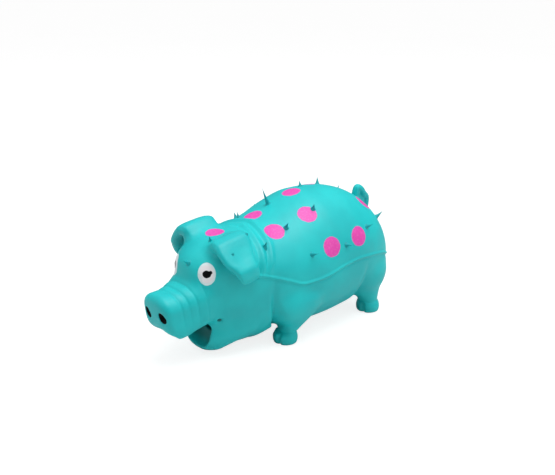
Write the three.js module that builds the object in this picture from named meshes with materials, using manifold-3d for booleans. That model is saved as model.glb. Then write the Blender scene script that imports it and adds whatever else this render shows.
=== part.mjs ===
// Squeaky pig dog toy: a slush-moulded latex skin over a fibre filling, with a reed voice unit in its throat.
// Millimetres. The pig faces -Y, its left side is +X and +Z is up. It stands on its hooves at z = 0.
import * as THREE from "three";
import { mergeVertices } from "three/addons/utils/BufferGeometryUtils.js";
import Module from "manifold-3d";

const wasm = await Module();
wasm.setup();

// Walls and clearances
const skinWall = 2.2;
const fitGap = 0.3;
const snoutWall = 2.4;

// Trunk: the head and the body as one barrel, cut at the neck and along the parting bead.
// Each station: along Y, half width, lowest, widest and highest height.
const trunkStations = [
  [-84, 0, 62, 62, 62],
  [-83, 8.5, 50, 62, 70],
  [-79.5, 15.5, 38, 62, 75],
  [-73.5, 21.5, 26, 62, 79.5],
  [-65.5, 27, 13.5, 62.5, 83.5],
  [-56, 31.5, 7.5, 64, 86],
  [-46, 35.5, 3.6, 63, 86.5],
  [-36, 38.5, 3.6, 60, 86.5],
  [-24, 41.5, 5.5, 55.5, 88],
  [-10, 44, 6.5, 50.5, 92],
  [8, 46, 5.5, 51.5, 99],
  [26, 46.5, 5.5, 55.5, 103],
  [44, 46.5, 7, 57.5, 102.5],
  [62, 44.5, 10, 56, 98.6],
  [78, 40, 14, 52.5, 89],
  [91, 31.5, 19, 47, 73],
  [100, 22.5, 24, 42.5, 61],
  [106, 13, 30, 40, 51],
  [108.5, 0, 39.5, 39.5, 39.5],
];
const trunkSquareness = { upper: 2.1, lower: 2.3 };
const neckY = -36;

// Raised bead that the mould's parting line leaves round the body
const beadRadius = 1.3;
const beadStandOut = 0.8;

// Snout: a tapering barrel with a blunt face, a cleft upper lip and three wrinkles
const snoutStations = [
  [-109.5, 0, 41.5, 41.5, 41.5],
  [-109.1, 8, 34.5, 41.5, 48.5],
  [-107.5, 12.8, 30, 41.5, 51.8],
  [-104.5, 15, 26.5, 41.5, 53.4],
  [-100.5, 15.6, 23.5, 41.5, 53.5],
  [-96, 16, 21, 42, 53.8],
  [-91, 17, 21.5, 43, 55.2],
  [-85, 18.8, 24.5, 44.5, 57.6],
  [-78, 21, 28, 46.5, 59.5],
  [-70, 20.5, 30, 47, 60],
  [-62, 14, 36, 50, 62],
  [-60, 0, 50, 50, 50],
];
const snoutSquareness = { upper: 2.3, lower: 3.2 };
const lipCleftDepth = 6;
const lipCleftHalfWidth = 6;
const lipCleftY = -98;
const lipCleftLength = 8;
const faceLean = 0.12;
const faceTop = 48;
const faceBackY = -92;
const wrinkleDepth = 0.9;
const wrinkleHalfWidth = 1.5;
const wrinkleYs = [-97.8, -92.6, -87, -80.5];
const nostrilAcross = 7.4;
const nostrilHeight = 39.5;
const nostrilHalfWidth = 2.7;
const nostrilHalfHeight = 4.4;
const nostrilDepth = 3;
const nostrilTilt = 18;

// Lower jaw and the mouth above it
const jawStations = [
  [-78.5, 0, 14.5, 14.5, 14.5],
  [-78, 5.5, 11.5, 14.5, 18],
  [-75.6, 11, 7.8, 14.5, 20.5],
  [-71.5, 15.5, 4.6, 15, 22.5],
  [-66, 19.5, 3.5, 15.5, 24],
  [-60, 22.5, 3.7, 18, 28],
  [-54, 25, 5, 20, 32],
  [-46, 26, 7.5, 22, 34],
  [-40, 0, 22, 22, 22],
];
const jawSquareness = { upper: 2.3, lower: 2.3 };
const mouthCentre = new THREE.Vector3(0, -72.2, 18.6);
const mouthHalf = new THREE.Vector3(16, 10.6, 10.6);
const throatStep = 1.5;

// Legs: along Z, half width across, half length, centre across and centre along
const hoofHeight = 8.5;
const legFrontX = 27;
const legFrontY = -14;
const legRearX = 27.5;
const legRearY = 75;
const legStations = [
  [0, 7.6, 7.2],
  [0.9, 8.8, 8.4],
  [4.5, 9.4, 9],
  [8.3, 8.5, 8.2],
  [9.6, 7.9, 7.8],
  [13, 8.4, 8.8],
  [20, 9.6, 11.5],
  [28, 11.4, 13.5],
  [35, 12, 14],
  [39, 8, 10],
  [40, 0, 0],
];
const hoofCleftDepth = 1.8;
const hipHeight = 30;
const legFrontSplay = 6;
const legRearSplay = 0;
const legFrontSetBack = 10;
const legRearSetBack = -4;

// Shoulder and hip: a swelling of the skin above each leg
const shoulderCentre = new THREE.Vector3(30, -12, 32);
const shoulderHalf = new THREE.Vector3(16, 20, 16);
const hipCentre = new THREE.Vector3(28, 71, 34);
const hipHalf = new THREE.Vector3(15, 17, 17);

// Ears: a folded flap. Each station: across, height, centre along, half length, half thickness.
const earStations = [
  [10, 77, -58, 11, 4],
  [16, 81, -58, 13.5, 4.2],
  [21.5, 84, -58, 14.8, 3.8],
  [27, 84.6, -58, 15, 3.2],
  [32, 81.5, -58.5, 14.6, 3],
  [35.2, 75.5, -59, 13.4, 2.8],
  [36.6, 69, -58.2, 11.8, 2.8],
  [36.8, 63.5, -56.4, 9, 2.7],
  [36.4, 59.8, -54.8, 5.6, 2.3],
  [36, 58, -54.2, 0, 0],
];
const earHingeX = 12;
const earHingeY = -57;
const earRightSetBack = 5;
const earDroop = 6;
const earLeftLean = 0.3;
const earRightLean = 0.15;

// Tail: a hooked curl that stands on the rump, webbed inside its hook.
// Each station: along, height, across, radius.
const tailStations = [
  [86, 76, 0, 3.8],
  [86.3, 84, 0, 3.4],
  [86.7, 89.5, 0.4, 3.1],
  [87.9, 94, 1, 2.9],
  [90.8, 93.2, 1.6, 2.8],
  [94.6, 88.8, 1.9, 2.7],
  [97.6, 84, 1.8, 2.5],
  [98.4, 78.5, 1.3, 2.2],
  [98, 72, 0.8, 1.8],
];
const tailWebCentre = new THREE.Vector3(0.9, 92, 81.5);
const tailWebHalf = new THREE.Vector3(1.7, 6.5, 10);
const tailHingeY = 86.3;
const tailSwing = 12;

// Spikes: station along Y, angle round the trunk (0 at the left flank, 90 at the top) and height
const spikeRadius = 1.3;
const spikeFoot = 2.4;
const spikePlaces = [
  [-82, 71, 5.5], [-64.5, 76, 5.5], [-44, 106, 4.5], [-33, 42, 5.5], [-29.5, 106, 5.5],
  [-24.5, 99, 6], [-12, 57, 7], [-2.5, 96, 11], [-2, 22, 5.5], [15, 59, 5.5],
  [29.5, 15, 5.5], [31.5, 97, 4.5], [48, 95, 5.5], [55, 26, 5.5], [76, 104, 6],
  [80, 44, 6.5], [-31, 160, 5.5], [-10, 152, 6], [2, 168, 5.5], [18, 146, 6],
  [33, 164, 5.5], [52, 150, 6], [62, 140, 5.5], [84, 138, 6], [97, 92, 5.5],
];

// Voice unit in the throat
const barrelRadius = 9;
const barrelWall = 1.3;
const barrelFrontY = -56;
const barrelLength = 20;
const barrelHeight = 22;
const collarWall = 2.2;
const collarLength = 0.6 * barrelLength;
const guardThickness = 1.6;
const guardSlots = 5;
const strainerThickness = 1.6;

// Rings along and points round the surface of each form
const FACETS = {
  trunk: { rings: 24, points: 24 },
  hollow: { rings: 16, points: 16 },
  snout: { rings: 34, points: 16 },
  snoutHollow: { rings: 12, points: 12 },
  jaw: { rings: 14, points: 16 },
  leg: { rings: 14, points: 16 },
  ear: { rings: 14, points: 14 },
  tail: { rings: 14, points: 8 },
};

const COLOURS = {
  latex: 0x2fc6c4,
  fibre: 0xf2f1ec,
  blackPlastic: 0x16181b,
  brass: 0xc9a35a,
};

// Interpolates a table by a curve that never overshoots its stations
function throughStations(params, values) {
  const count = params.length;
  const steps = [];
  const slopes = [];
  for (let i = 0; i < count - 1; i += 1) {
    steps.push(params[i + 1] - params[i]);
    slopes.push((values[i + 1] - values[i]) / steps[i]);
  }
  const tangents = [endTangent(steps[0], steps[1], slopes[0], slopes[1])];
  for (let i = 1; i < count - 1; i += 1) {
    if (slopes[i - 1] * slopes[i] <= 0) {
      tangents.push(0);
    } else {
      const before = 2 * steps[i] + steps[i - 1];
      const after = steps[i] + 2 * steps[i - 1];
      tangents.push((before + after) / (before / slopes[i - 1] + after / slopes[i]));
    }
  }
  const last = count - 2;
  tangents.push(endTangent(steps[last], steps[last - 1], slopes[last], slopes[last - 1]));
  return (t) => {
    let i = 0;
    while (i < count - 2 && t > params[i + 1]) i += 1;
    const u = (t - params[i]) / steps[i];
    const rise = u * u * (3 - 2 * u);
    const leave = u * (1 - u) * (1 - u) * steps[i];
    const arrive = u * u * (u - 1) * steps[i];
    return values[i] * (1 - rise) + values[i + 1] * rise + tangents[i] * leave + tangents[i + 1] * arrive;
  };
}

function endTangent(step, nextStep, slope, nextSlope) {
  const tangent = ((2 * step + nextStep) * slope - step * nextSlope) / (step + nextStep);
  if (tangent * slope <= 0) return 0;
  if (slope * nextSlope <= 0 && Math.abs(tangent) > 3 * Math.abs(slope)) return 3 * slope;
  return tangent;
}

// Turns a station table into one function that gives a whole row at any share of its length
function tableCurve(rows) {
  const params = [0];
  for (let i = 1; i < rows.length; i += 1) {
    let squared = 0;
    rows[i].forEach((value, column) => { squared += (value - rows[i - 1][column]) ** 2; });
    params.push(params[i - 1] + Math.sqrt(squared));
  }
  const total = params[params.length - 1];
  const columns = rows[0].map((_, column) => throughStations(params, rows.map((row) => row[column])));
  return (share) => columns.map((column) => column(share * total));
}

// A superellipse section: the widest height divides it into an upper and a lower half
function sectionPoint(angle, half, low, wide, high, squareness) {
  const across = Math.cos(angle);
  const up = Math.sin(angle);
  const power = 2 / (up > 0 ? squareness.upper : squareness.lower);
  const reach = up > 0 ? high - wide : wide - low;
  return {
    x: half * Math.sign(across) * Math.abs(across) ** power,
    z: wide + reach * Math.sign(up) * Math.abs(up) ** power,
  };
}

// A form along Y from its station table; finish may still move each point
function barrelForm(rows, squareness, finish = (point) => point) {
  const curve = tableCurve(rows);
  return (share, angle) => {
    const [y, half, low, wide, high] = curve(share);
    const { x, z } = sectionPoint(angle, half, low, wide, high, squareness);
    return finish(new THREE.Vector3(x, y, z), angle);
  };
}

// Points of a form on a grid of rings, moved out along the surface by grow
function formRings(form, facets, grow = 0) {
  const ringCount = facets.rings;
  const pointCount = facets.points;
  const rings = [];
  for (let i = 0; i <= ringCount; i += 1) {
    const ring = [];
    for (let j = 0; j < pointCount; j += 1) ring.push(form(i / ringCount, (j / pointCount) * Math.PI * 2));
    rings.push(ring);
  }
  if (grow === 0) return rings;
  const turn = handOf(rings);
  return rings.map((ring, i) => ring.map((point, j) => {
    const before = rings[Math.max(i - 1, 0)];
    const after = rings[Math.min(i + 1, ringCount)];
    let normal;
    if (isPole(ring)) {
      normal = point.clone().sub(centreOf(i === 0 ? after : before));
    } else {
      const along = after[j].clone().sub(before[j]);
      const around = ring[(j + 1) % pointCount].clone().sub(ring[(j + pointCount - 1) % pointCount]);
      normal = along.cross(around).multiplyScalar(turn);
    }
    return point.clone().addScaledVector(normal.normalize(), grow);
  }));
}

function centreOf(ring) {
  const centre = new THREE.Vector3();
  ring.forEach((point) => centre.add(point));
  return centre.divideScalar(ring.length);
}

function isPole(ring) {
  return ring.every((point) => point.distanceTo(ring[0]) < 1e-6);
}

// 1 when the cross product along x around points out of the form, -1 when it points in
function handOf(rings) {
  const i = Math.floor(rings.length / 2);
  const ring = rings[i];
  const along = rings[i + 1][0].clone().sub(rings[i - 1][0]);
  const around = ring[1].clone().sub(ring[ring.length - 1]);
  const out = ring[0].clone().sub(centreOf(ring));
  return along.cross(around).dot(out) > 0 ? 1 : -1;
}

// Skins a list of rings into one closed body; an open end gets a flat fan
function skinRings(rings) {
  const positions = [];
  const indices = [];
  const pointCount = rings[0].length;
  const put = (point) => positions.push(point.x, point.y, point.z) / 3 - 1;
  const rows = rings.map((ring) => (isPole(ring) ? [put(ring[0])] : ring.map(put)));
  const turned = handOf(rings) > 0;
  const face = (a, b, c) => (turned ? indices.push(a, b, c) : indices.push(a, c, b));
  for (let i = 0; i < rows.length - 1; i += 1) {
    const here = rows[i];
    const next = rows[i + 1];
    for (let j = 0; j < pointCount; j += 1) {
      const k = (j + 1) % pointCount;
      if (here.length === 1) face(here[0], next[j], next[k]);
      else if (next.length === 1) face(here[j], next[0], here[k]);
      else {
        face(here[j], next[j], here[k]);
        face(next[j], next[k], here[k]);
      }
    }
  }
  [0, rows.length - 1].forEach((i) => {
    const row = rows[i];
    if (row.length === 1) return;
    const hub = put(centreOf(rings[i]));
    for (let j = 0; j < pointCount; j += 1) {
      const k = (j + 1) % pointCount;
      if (i === 0) face(hub, row[j], row[k]);
      else face(hub, row[k], row[j]);
    }
  });
  const geometry = new THREE.BufferGeometry();
  geometry.setAttribute("position", new THREE.Float32BufferAttribute(positions, 3));
  geometry.setIndex(indices);
  return geometry;
}

// three.js geometry to a solid, and back
function toSolid(geometry, matrix = new THREE.Matrix4()) {
  const plain = geometry.clone();
  plain.deleteAttribute("normal");
  plain.deleteAttribute("uv");
  plain.applyMatrix4(matrix);
  const merged = mergeVertices(plain, 1e-5);
  return new wasm.Manifold(new wasm.Mesh({
    numProp: 3,
    vertProperties: new Float32Array(merged.attributes.position.array),
    triVerts: new Uint32Array(merged.index.array),
  }));
}

function toGeometry(solid) {
  const mesh = solid.getMesh();
  const geometry = new THREE.BufferGeometry();
  geometry.setAttribute("position", new THREE.BufferAttribute(new Float32Array(mesh.vertProperties), 3));
  geometry.setIndex(new THREE.BufferAttribute(new Uint32Array(mesh.triVerts), 1));
  geometry.computeVertexNormals();
  return geometry;
}

const formSolid = (form, facets, grow = 0) => toSolid(skinRings(formRings(form, facets, grow)));

// A box between two corners
function boxSolid(low, high) {
  const size = high.clone().sub(low);
  const centre = low.clone().add(high).multiplyScalar(0.5);
  const place = new THREE.Matrix4().makeTranslation(centre.x, centre.y, centre.z);
  return toSolid(new THREE.BoxGeometry(size.x, size.y, size.z), place);
}

// A turned piece whose axis runs along +Y; the profile holds [radius, distance along] pairs
function turnedSolid(profile, segments, origin) {
  const outline = profile.map(([radius, along]) => new THREE.Vector2(radius, along));
  const place = new THREE.Matrix4().makeTranslation(origin.x, origin.y, origin.z);
  return toSolid(new THREE.LatheGeometry(outline, segments), place);
}

const reach = 200;
const everywhereLow = new THREE.Vector3(-reach, -reach, -reach);
const everywhereHigh = new THREE.Vector3(reach, reach, reach);

// Trunk
const trunkForm = barrelForm(trunkStations, trunkSquareness);
const trunk = formSolid(trunkForm, FACETS.trunk);
const trunkCleared = formSolid(trunkForm, FACETS.trunk, fitGap);
const trunkHollow = formSolid(trunkForm, FACETS.hollow, -skinWall);
const filling = formSolid(trunkForm, FACETS.hollow, -(skinWall + fitGap));

const beforeNeck = boxSolid(everywhereLow, everywhereHigh.clone().setY(neckY - fitGap / 2));
const behindNeck = boxSolid(everywhereLow.clone().setY(neckY + fitGap / 2), everywhereHigh);

// The share of the trunk's length at a place along Y
function trunkShareAt(y) {
  let low = 0;
  let high = 1;
  for (let i = 0; i < 40; i += 1) {
    const middle = (low + high) / 2;
    if (trunkForm(middle, 0).y < y) low = middle;
    else high = middle;
  }
  return (low + high) / 2;
}

// The parting surface follows the trunk's widest line, seen from the side
function partingRegion(above) {
  const start = trunkShareAt(neckY - 4 * skinWall);
  const steps = 30;
  const outline = [];
  const shift = (above ? 1 : -1) * fitGap / 2;
  for (let i = 0; i <= steps; i += 1) {
    const point = trunkForm(start + ((1 - start) * i) / steps, 0);
    outline.push(new THREE.Vector2(point.y, point.z + shift));
  }
  const first = outline[0];
  const last = outline[outline.length - 1];
  outline.push(new THREE.Vector2(last.x + reach, last.y));
  outline.push(new THREE.Vector2(last.x + reach, above ? reach : -reach));
  outline.push(new THREE.Vector2(first.x, above ? reach : -reach));
  const slab = new THREE.ExtrudeGeometry(new THREE.Shape(outline), { depth: 2 * reach, bevelEnabled: false });
  const turn = new THREE.Matrix4().makeBasis(
    new THREE.Vector3(0, 1, 0),
    new THREE.Vector3(0, 0, 1),
    new THREE.Vector3(1, 0, 0),
  );
  return toSolid(slab, new THREE.Matrix4().makeTranslation(-reach, 0, 0).multiply(turn));
}

// A round cord along a list of points with the radius at each, as rings square to its run
function cordRings(points, radii, sides, up = new THREE.Vector3(0, 0, 1)) {
  return points.map((point, i) => {
    const before = points[Math.max(i - 1, 0)];
    const after = points[Math.min(i + 1, points.length - 1)];
    const run = after.clone().sub(before).normalize();
    const side = run.clone().cross(up).normalize();
    const lift = side.clone().cross(run).normalize();
    return Array.from({ length: sides }, (_, j) => {
      const angle = (j / sides) * Math.PI * 2;
      return point.clone()
        .addScaledVector(side, radii[i] * Math.cos(angle))
        .addScaledVector(lift, radii[i] * Math.sin(angle));
    });
  });
}

// The bead stands on the belly skin just under the parting line and runs round the rump
function partingBead() {
  const start = trunkShareAt(neckY + fitGap / 2);
  const steps = 18;
  const points = [];
  const lay = (share, angle) => {
    const surface = trunkForm(share, angle);
    const inward = new THREE.Vector3(-surface.x, 0, 0);
    if (share > 0.97) inward.set(0, -1, 0);
    inward.normalize().multiplyScalar(beadRadius - beadStandOut);
    return surface.add(inward).add(new THREE.Vector3(0, 0, -beadRadius - fitGap / 2));
  };
  for (let i = 0; i <= steps; i += 1) points.push(lay(start + ((1 - start) * i) / steps, 0));
  for (let i = steps - 1; i >= 0; i -= 1) points.push(lay(start + ((1 - start) * i) / steps, Math.PI));
  return toSolid(skinRings(cordRings(points, points.map(() => beadRadius), 6)));
}

// Spikes: flared cones square to the skin
function spike(y, degrees, spikeHeight) {
  const share = trunkShareAt(y);
  const angle = THREE.MathUtils.degToRad(degrees);
  const step = 0.004;
  const foot = trunkForm(share, angle);
  const along = trunkForm(share + step, angle).sub(trunkForm(share - step, angle));
  const around = trunkForm(share, angle + step * 4).sub(trunkForm(share, angle - step * 4));
  const normal = along.cross(around).normalize();
  const side = new THREE.Vector3(1, 0, 0).cross(normal).normalize();
  const heights = [-skinWall / 2, spikeHeight * 0.2, spikeHeight];
  const radii = [spikeFoot, spikeRadius, 0];
  const points = heights.map((height) => foot.clone().addScaledVector(normal, height));
  return toSolid(skinRings(cordRings(points, radii, 5, side)));
}

function withSpikes(solid, wanted) {
  return spikePlaces
    .filter(([y]) => wanted(y))
    .reduce((grown, [y, degrees, height]) => grown.add(spike(y, degrees, height)), solid);
}

const bodyShell = trunk.subtract(trunkHollow).intersect(behindNeck);
const backSkin = withSpikes(bodyShell.intersect(partingRegion(true)), (y) => y > neckY);
const bellySkin = bodyShell.add(partingBead().intersect(behindNeck)).intersect(partingRegion(false));

// Mouth and throat
function ellipsoid(centre, half, grow, segments = 20) {
  const place = new THREE.Matrix4().makeTranslation(centre.x, centre.y, centre.z);
  place.scale(half.clone().addScalar(grow));
  return toSolid(new THREE.SphereGeometry(1, segments, segments / 2), place);
}

// A plain round rod along Y
function rod(radius, fromY, toY, segments = 24) {
  const origin = new THREE.Vector3(0, fromY, barrelHeight);
  return turnedSolid([[0, 0], [radius, 0], [radius, toY - fromY], [0, toY - fromY]], segments, origin);
}

const guardFrontY = barrelFrontY - guardThickness - fitGap;
const barrelRearY = barrelFrontY + barrelLength;
const throatRadius = barrelRadius - throatStep;
const collarRadius = barrelRadius + fitGap + collarWall;
const mouthPocket = ellipsoid(mouthCentre, mouthHalf, 0);
const lining = ellipsoid(mouthCentre, mouthHalf, skinWall)
  .add(rod(collarRadius, mouthCentre.y, barrelFrontY + collarLength));
const throat = rod(throatRadius, mouthCentre.y, guardFrontY)
  .add(rod(barrelRadius + fitGap, guardFrontY - fitGap, barrelRearY + 4 * fitGap));
const voiceSpace = rod(
  barrelRadius + fitGap,
  guardFrontY - fitGap,
  barrelRearY + strainerThickness + 2 * fitGap,
);

// Snout
function shapeSnout(point, angle) {
  const under = Math.max(0, -Math.sin(angle));
  const cleft = Math.exp(-((point.x / lipCleftHalfWidth) ** 2))
    * Math.exp(-(((point.y - lipCleftY) / lipCleftLength) ** 2));
  point.z += lipCleftDepth * cleft * under;
  const front = 1 - THREE.MathUtils.smoothstep(point.y, snoutStations[3][0], faceBackY);
  point.y += faceLean * Math.max(0, faceTop - point.z) * front;
  const over = Math.max(0, Math.sin(angle) + 0.75) / 1.75;
  const groove = wrinkleYs.reduce(
    (sum, y) => sum + Math.exp(-(((point.y - y) / wrinkleHalfWidth) ** 2)),
    0,
  );
  const narrow = 1 - (wrinkleDepth * groove * Math.sqrt(over)) / snoutStations[4][1];
  point.x *= narrow;
  point.z = snoutStations[4][3] + (point.z - snoutStations[4][3]) * narrow;
  return point;
}
const snoutForm = barrelForm(snoutStations, snoutSquareness, shapeSnout);
const snoutSolid = formSolid(snoutForm, FACETS.snout);
const snoutInside = barrelForm(snoutStations, snoutSquareness);
const snoutHollow = formSolid(snoutInside, FACETS.snoutHollow, -(snoutWall + wrinkleDepth));

function nostril(side) {
  const place = new THREE.Matrix4().makeTranslation(
    (side * nostrilAcross),
    snoutStations[0][0],
    nostrilHeight,
  );
  place.multiply(new THREE.Matrix4().makeRotationY(THREE.MathUtils.degToRad(-side * nostrilTilt)));
  place.scale(new THREE.Vector3(nostrilHalfWidth, nostrilDepth, nostrilHalfHeight));
  return toSolid(new THREE.SphereGeometry(1, 14, 8), place);
}
const snoutSkin = snoutSolid
  .subtract(snoutHollow)
  .subtract(trunkCleared)
  .subtract(nostril(1))
  .subtract(nostril(-1));

// Head: the front of the trunk, lined at the mouth and bored for the voice unit
const headHollow = trunkHollow.subtract(lining);
const headSkin = withSpikes(trunk.intersect(beforeNeck), (y) => y < neckY)
  .subtract(headHollow)
  .subtract(mouthPocket)
  .subtract(throat);

// Lower jaw, scooped by the mouth
const jawForm = barrelForm(jawStations, jawSquareness);
const lowerJaw = formSolid(jawForm, FACETS.jaw).subtract(trunkCleared).subtract(mouthPocket);

// Legs
function legForm(centreX, centreY, splay, setBack) {
  const curve = tableCurve(legStations);
  const side = Math.sign(centreX);
  return (share, angle) => {
    const [z, across, along] = curve(share);
    const facing = Math.max(0, -Math.sin(angle)) ** 12;
    const cleft = z < hoofHeight ? hoofCleftDepth * facing : 0;
    const rise = THREE.MathUtils.clamp((z - hoofHeight) / (hipHeight - hoofHeight), 0, 1);
    return new THREE.Vector3(
      centreX + side * splay * rise + across * Math.cos(angle),
      centreY + setBack * rise + (along - cleft) * Math.sin(angle),
      z,
    );
  };
}
function frontLeg(side) {
  return formSolid(legForm(side * legFrontX, legFrontY, legFrontSplay, legFrontSetBack), FACETS.leg)
    .add(swelling(side, shoulderCentre, shoulderHalf))
    .subtract(trunkCleared);
}
function rearLeg(side) {
  return formSolid(legForm(side * legRearX, legRearY, legRearSplay, legRearSetBack), FACETS.leg)
    .add(swelling(side, hipCentre, hipHalf))
    .subtract(trunkCleared);
}
function swelling(side, centre, half) {
  const place = new THREE.Vector3(side * centre.x, centre.y, centre.z);
  return ellipsoid(place, half, 0);
}

// Ears: a flap along a curved spine, wide along Y
function earForm(side) {
  const curve = tableCurve(earStations);
  const setBack = side < 0 ? earRightSetBack : 0;
  const lean = side < 0 ? earRightLean : earLeftLean;
  const power = 2 / 2.4;
  return (share, angle) => {
    const [x, z, y, half, thick] = curve(share);
    const step = 0.004;
    const before = curve(Math.max(share - step, 0));
    const after = curve(Math.min(share + step, 1));
    const run = new THREE.Vector2(after[0] - before[0], after[1] - before[1]).normalize();
    const across = half * Math.sign(Math.cos(angle)) * Math.abs(Math.cos(angle)) ** power;
    const out = thick * Math.sign(Math.sin(angle)) * Math.abs(Math.sin(angle)) ** power;
    return new THREE.Vector3(side * (x - run.y * out), y + setBack + across, z + run.x * out + lean * across);
  };
}

// The ear bends at the crease where it leaves the head, so nothing of it lies inboard of that crease
function ear(side) {
  const hinge = new THREE.Vector3(side * earHingeX, earHingeY, trunkHeightAt(earHingeX, earHingeY));
  const outboard = boxSolid(
    new THREE.Vector3(side > 0 ? earHingeX : -reach, -reach, -reach),
    new THREE.Vector3(side > 0 ? reach : -earHingeX, reach, reach),
  );
  const droops = [0, earDroop / 2, earDroop].map((droop) => side * droop);
  const flap = formSolid(earForm(side), FACETS.ear).intersect(outboard);
  return clearOfTrunk(flap, hinge, new THREE.Vector3(0, 1, 0), droops);
}

// What is left of a piece that stands clear of the trunk at every one of its turns about a hinge line
function clearOfTrunk(solid, hinge, axis, degrees) {
  const grown = skinRings(formRings(trunkForm, FACETS.trunk, fitGap));
  const cleared = degrees.reduce((left, turn) => {
    const place = new THREE.Matrix4().makeTranslation(hinge.x, hinge.y, hinge.z)
      .multiply(new THREE.Matrix4().makeRotationAxis(axis, THREE.MathUtils.degToRad(-turn)))
      .multiply(new THREE.Matrix4().makeTranslation(-hinge.x, -hinge.y, -hinge.z));
    return left.subtract(toSolid(grown, place));
  }, solid);
  return largestPiece(cleared);
}

// The trunk's upper surface height at a place in plan
function trunkHeightAt(x, y) {
  const share = trunkShareAt(y);
  let low = 0;
  let high = Math.PI / 2;
  for (let i = 0; i < 40; i += 1) {
    const middle = (low + high) / 2;
    if (trunkForm(share, middle).x > x) low = middle;
    else high = middle;
  }
  return trunkForm(share, low).z;
}

// The biggest of the separate bodies that a cut leaves
function largestPiece(solid) {
  return solid.decompose().reduce((best, piece) => (piece.volume() > best.volume() ? piece : best));
}

// Tail
function tailSolid() {
  const curve = tableCurve(tailStations);
  const { rings, points: sides } = FACETS.tail;
  const rows = Array.from({ length: rings + 1 }, (_, i) => curve(i / rings));
  const points = rows.map(([y, z, x]) => new THREE.Vector3(x, y, z));
  return toSolid(skinRings(cordRings(points, rows.map((row) => row[3]), sides, new THREE.Vector3(1, 0, 0))))
    .add(ellipsoid(tailWebCentre, tailWebHalf, 0, 12));
}
const tail = clearOfTrunk(
  tailSolid(),
  new THREE.Vector3(0, tailHingeY, trunkHeightAt(0, tailHingeY)),
  new THREE.Vector3(1, 0, 0),
  [-tailSwing, -tailSwing / 2, 0, tailSwing / 2, tailSwing],
);

// Fibre filling
const headFilling = filling.intersect(beforeNeck)
  .subtract(ellipsoid(mouthCentre, mouthHalf, skinWall + fitGap))
  .subtract(rod(collarRadius + fitGap, mouthCentre.y, barrelFrontY + collarLength + fitGap))
  .subtract(voiceSpace);
const bodyFilling = filling.intersect(behindNeck).subtract(voiceSpace);
const snoutFilling = formSolid(snoutInside, FACETS.snoutHollow, -(snoutWall + wrinkleDepth + fitGap))
  .subtract(trunkCleared);

// Voice unit: barrel, front guard, tone board, reed, wedge and rear strainer
const bore = barrelRadius - barrelWall;
const spigotLength = 2;
const spigotRadius = bore - fitGap;
const boardRadius = bore - fitGap;
const boardTop = 0.6;
const boardEndRoom = 1;
const boardFrontY = barrelFrontY + spigotLength + boardEndRoom;
const boardLength = barrelRearY - spigotLength - boardEndRoom - boardFrontY;
const channelWidth = 4;
const channelDepth = 3;
const channelStop = boardLength / 4;
const reedThickness = 0.4;
const reedWidth = 5.4;
const reedSetBack = 2;
const reedLength = boardLength - reedSetBack;
const reedSlack = 0.05;
const reedRelief = 4;
const wedgeLength = 5;
const slotWidth = 1.4;

const voiceOrigin = new THREE.Vector3(0, barrelFrontY, barrelHeight);
const voiceBarrel = turnedSolid(
  [
    [bore, 0],
    [barrelRadius, 0],
    [barrelRadius, barrelLength],
    [bore, barrelLength],
    [bore, 0],
  ],
  24,
  voiceOrigin,
);

function frontGuard() {
  const disc = turnedSolid(
    [
      [0, 0],
      [barrelRadius - 0.4, 0],
      [barrelRadius, 0.4],
      [barrelRadius, guardThickness],
      [spigotRadius, guardThickness],
      [spigotRadius, guardThickness + fitGap + spigotLength],
      [spigotRadius - barrelWall, guardThickness + fitGap + spigotLength],
      [spigotRadius - barrelWall, guardThickness],
      [0, guardThickness],
    ],
    24,
    new THREE.Vector3(0, guardFrontY, barrelHeight),
  );
  const pitch = (2 * (spigotRadius - barrelWall)) / guardSlots;
  let guard = disc;
  for (let i = 0; i < guardSlots; i += 1) {
    const x = (i - (guardSlots - 1) / 2) * pitch;
    const room = Math.sqrt((spigotRadius - barrelWall) ** 2 - (Math.abs(x) + slotWidth / 2) ** 2);
    guard = guard.subtract(boxSolid(
      new THREE.Vector3(x - slotWidth / 2, guardFrontY - 1, barrelHeight - room),
      new THREE.Vector3(x + slotWidth / 2, guardFrontY + guardThickness + 0.5, barrelHeight + room),
    ));
  }
  return guard;
}

function toneBoard() {
  const y = boardFrontY;
  return rod(boardRadius, y, y + boardLength)
    .subtract(boxSolid(new THREE.Vector3(-reach, -reach, barrelHeight + boardTop), everywhereHigh))
    .subtract(boxSolid(
      new THREE.Vector3(-channelWidth / 2, y - 1, barrelHeight + boardTop - channelDepth),
      new THREE.Vector3(channelWidth / 2, y + boardLength - channelStop, barrelHeight + boardTop + 1),
    ));
}

function reedStrip() {
  const bottom = barrelHeight + boardTop + reedSlack;
  const rear = boardFrontY + boardLength - 0.5;
  return boxSolid(
    new THREE.Vector3(-reedWidth / 2, rear - reedLength, bottom),
    new THREE.Vector3(reedWidth / 2, rear, bottom + reedThickness),
  );
}

// The wedge's underside rises towards the front so that the reed can lift off the board
function reedWedge() {
  const rear = boardFrontY + boardLength;
  const bottom = barrelHeight + boardTop + reedThickness + 2 * reedSlack;
  const under = boxSolid(everywhereLow, new THREE.Vector3(reach, reach, 0));
  const tilt = new THREE.Matrix4().makeTranslation(0, rear, bottom)
    .multiply(new THREE.Matrix4().makeRotationX(THREE.MathUtils.degToRad(-reedRelief)));
  return rod(boardRadius, rear - wedgeLength, rear).subtract(under.transform(tilt.elements));
}

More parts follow.
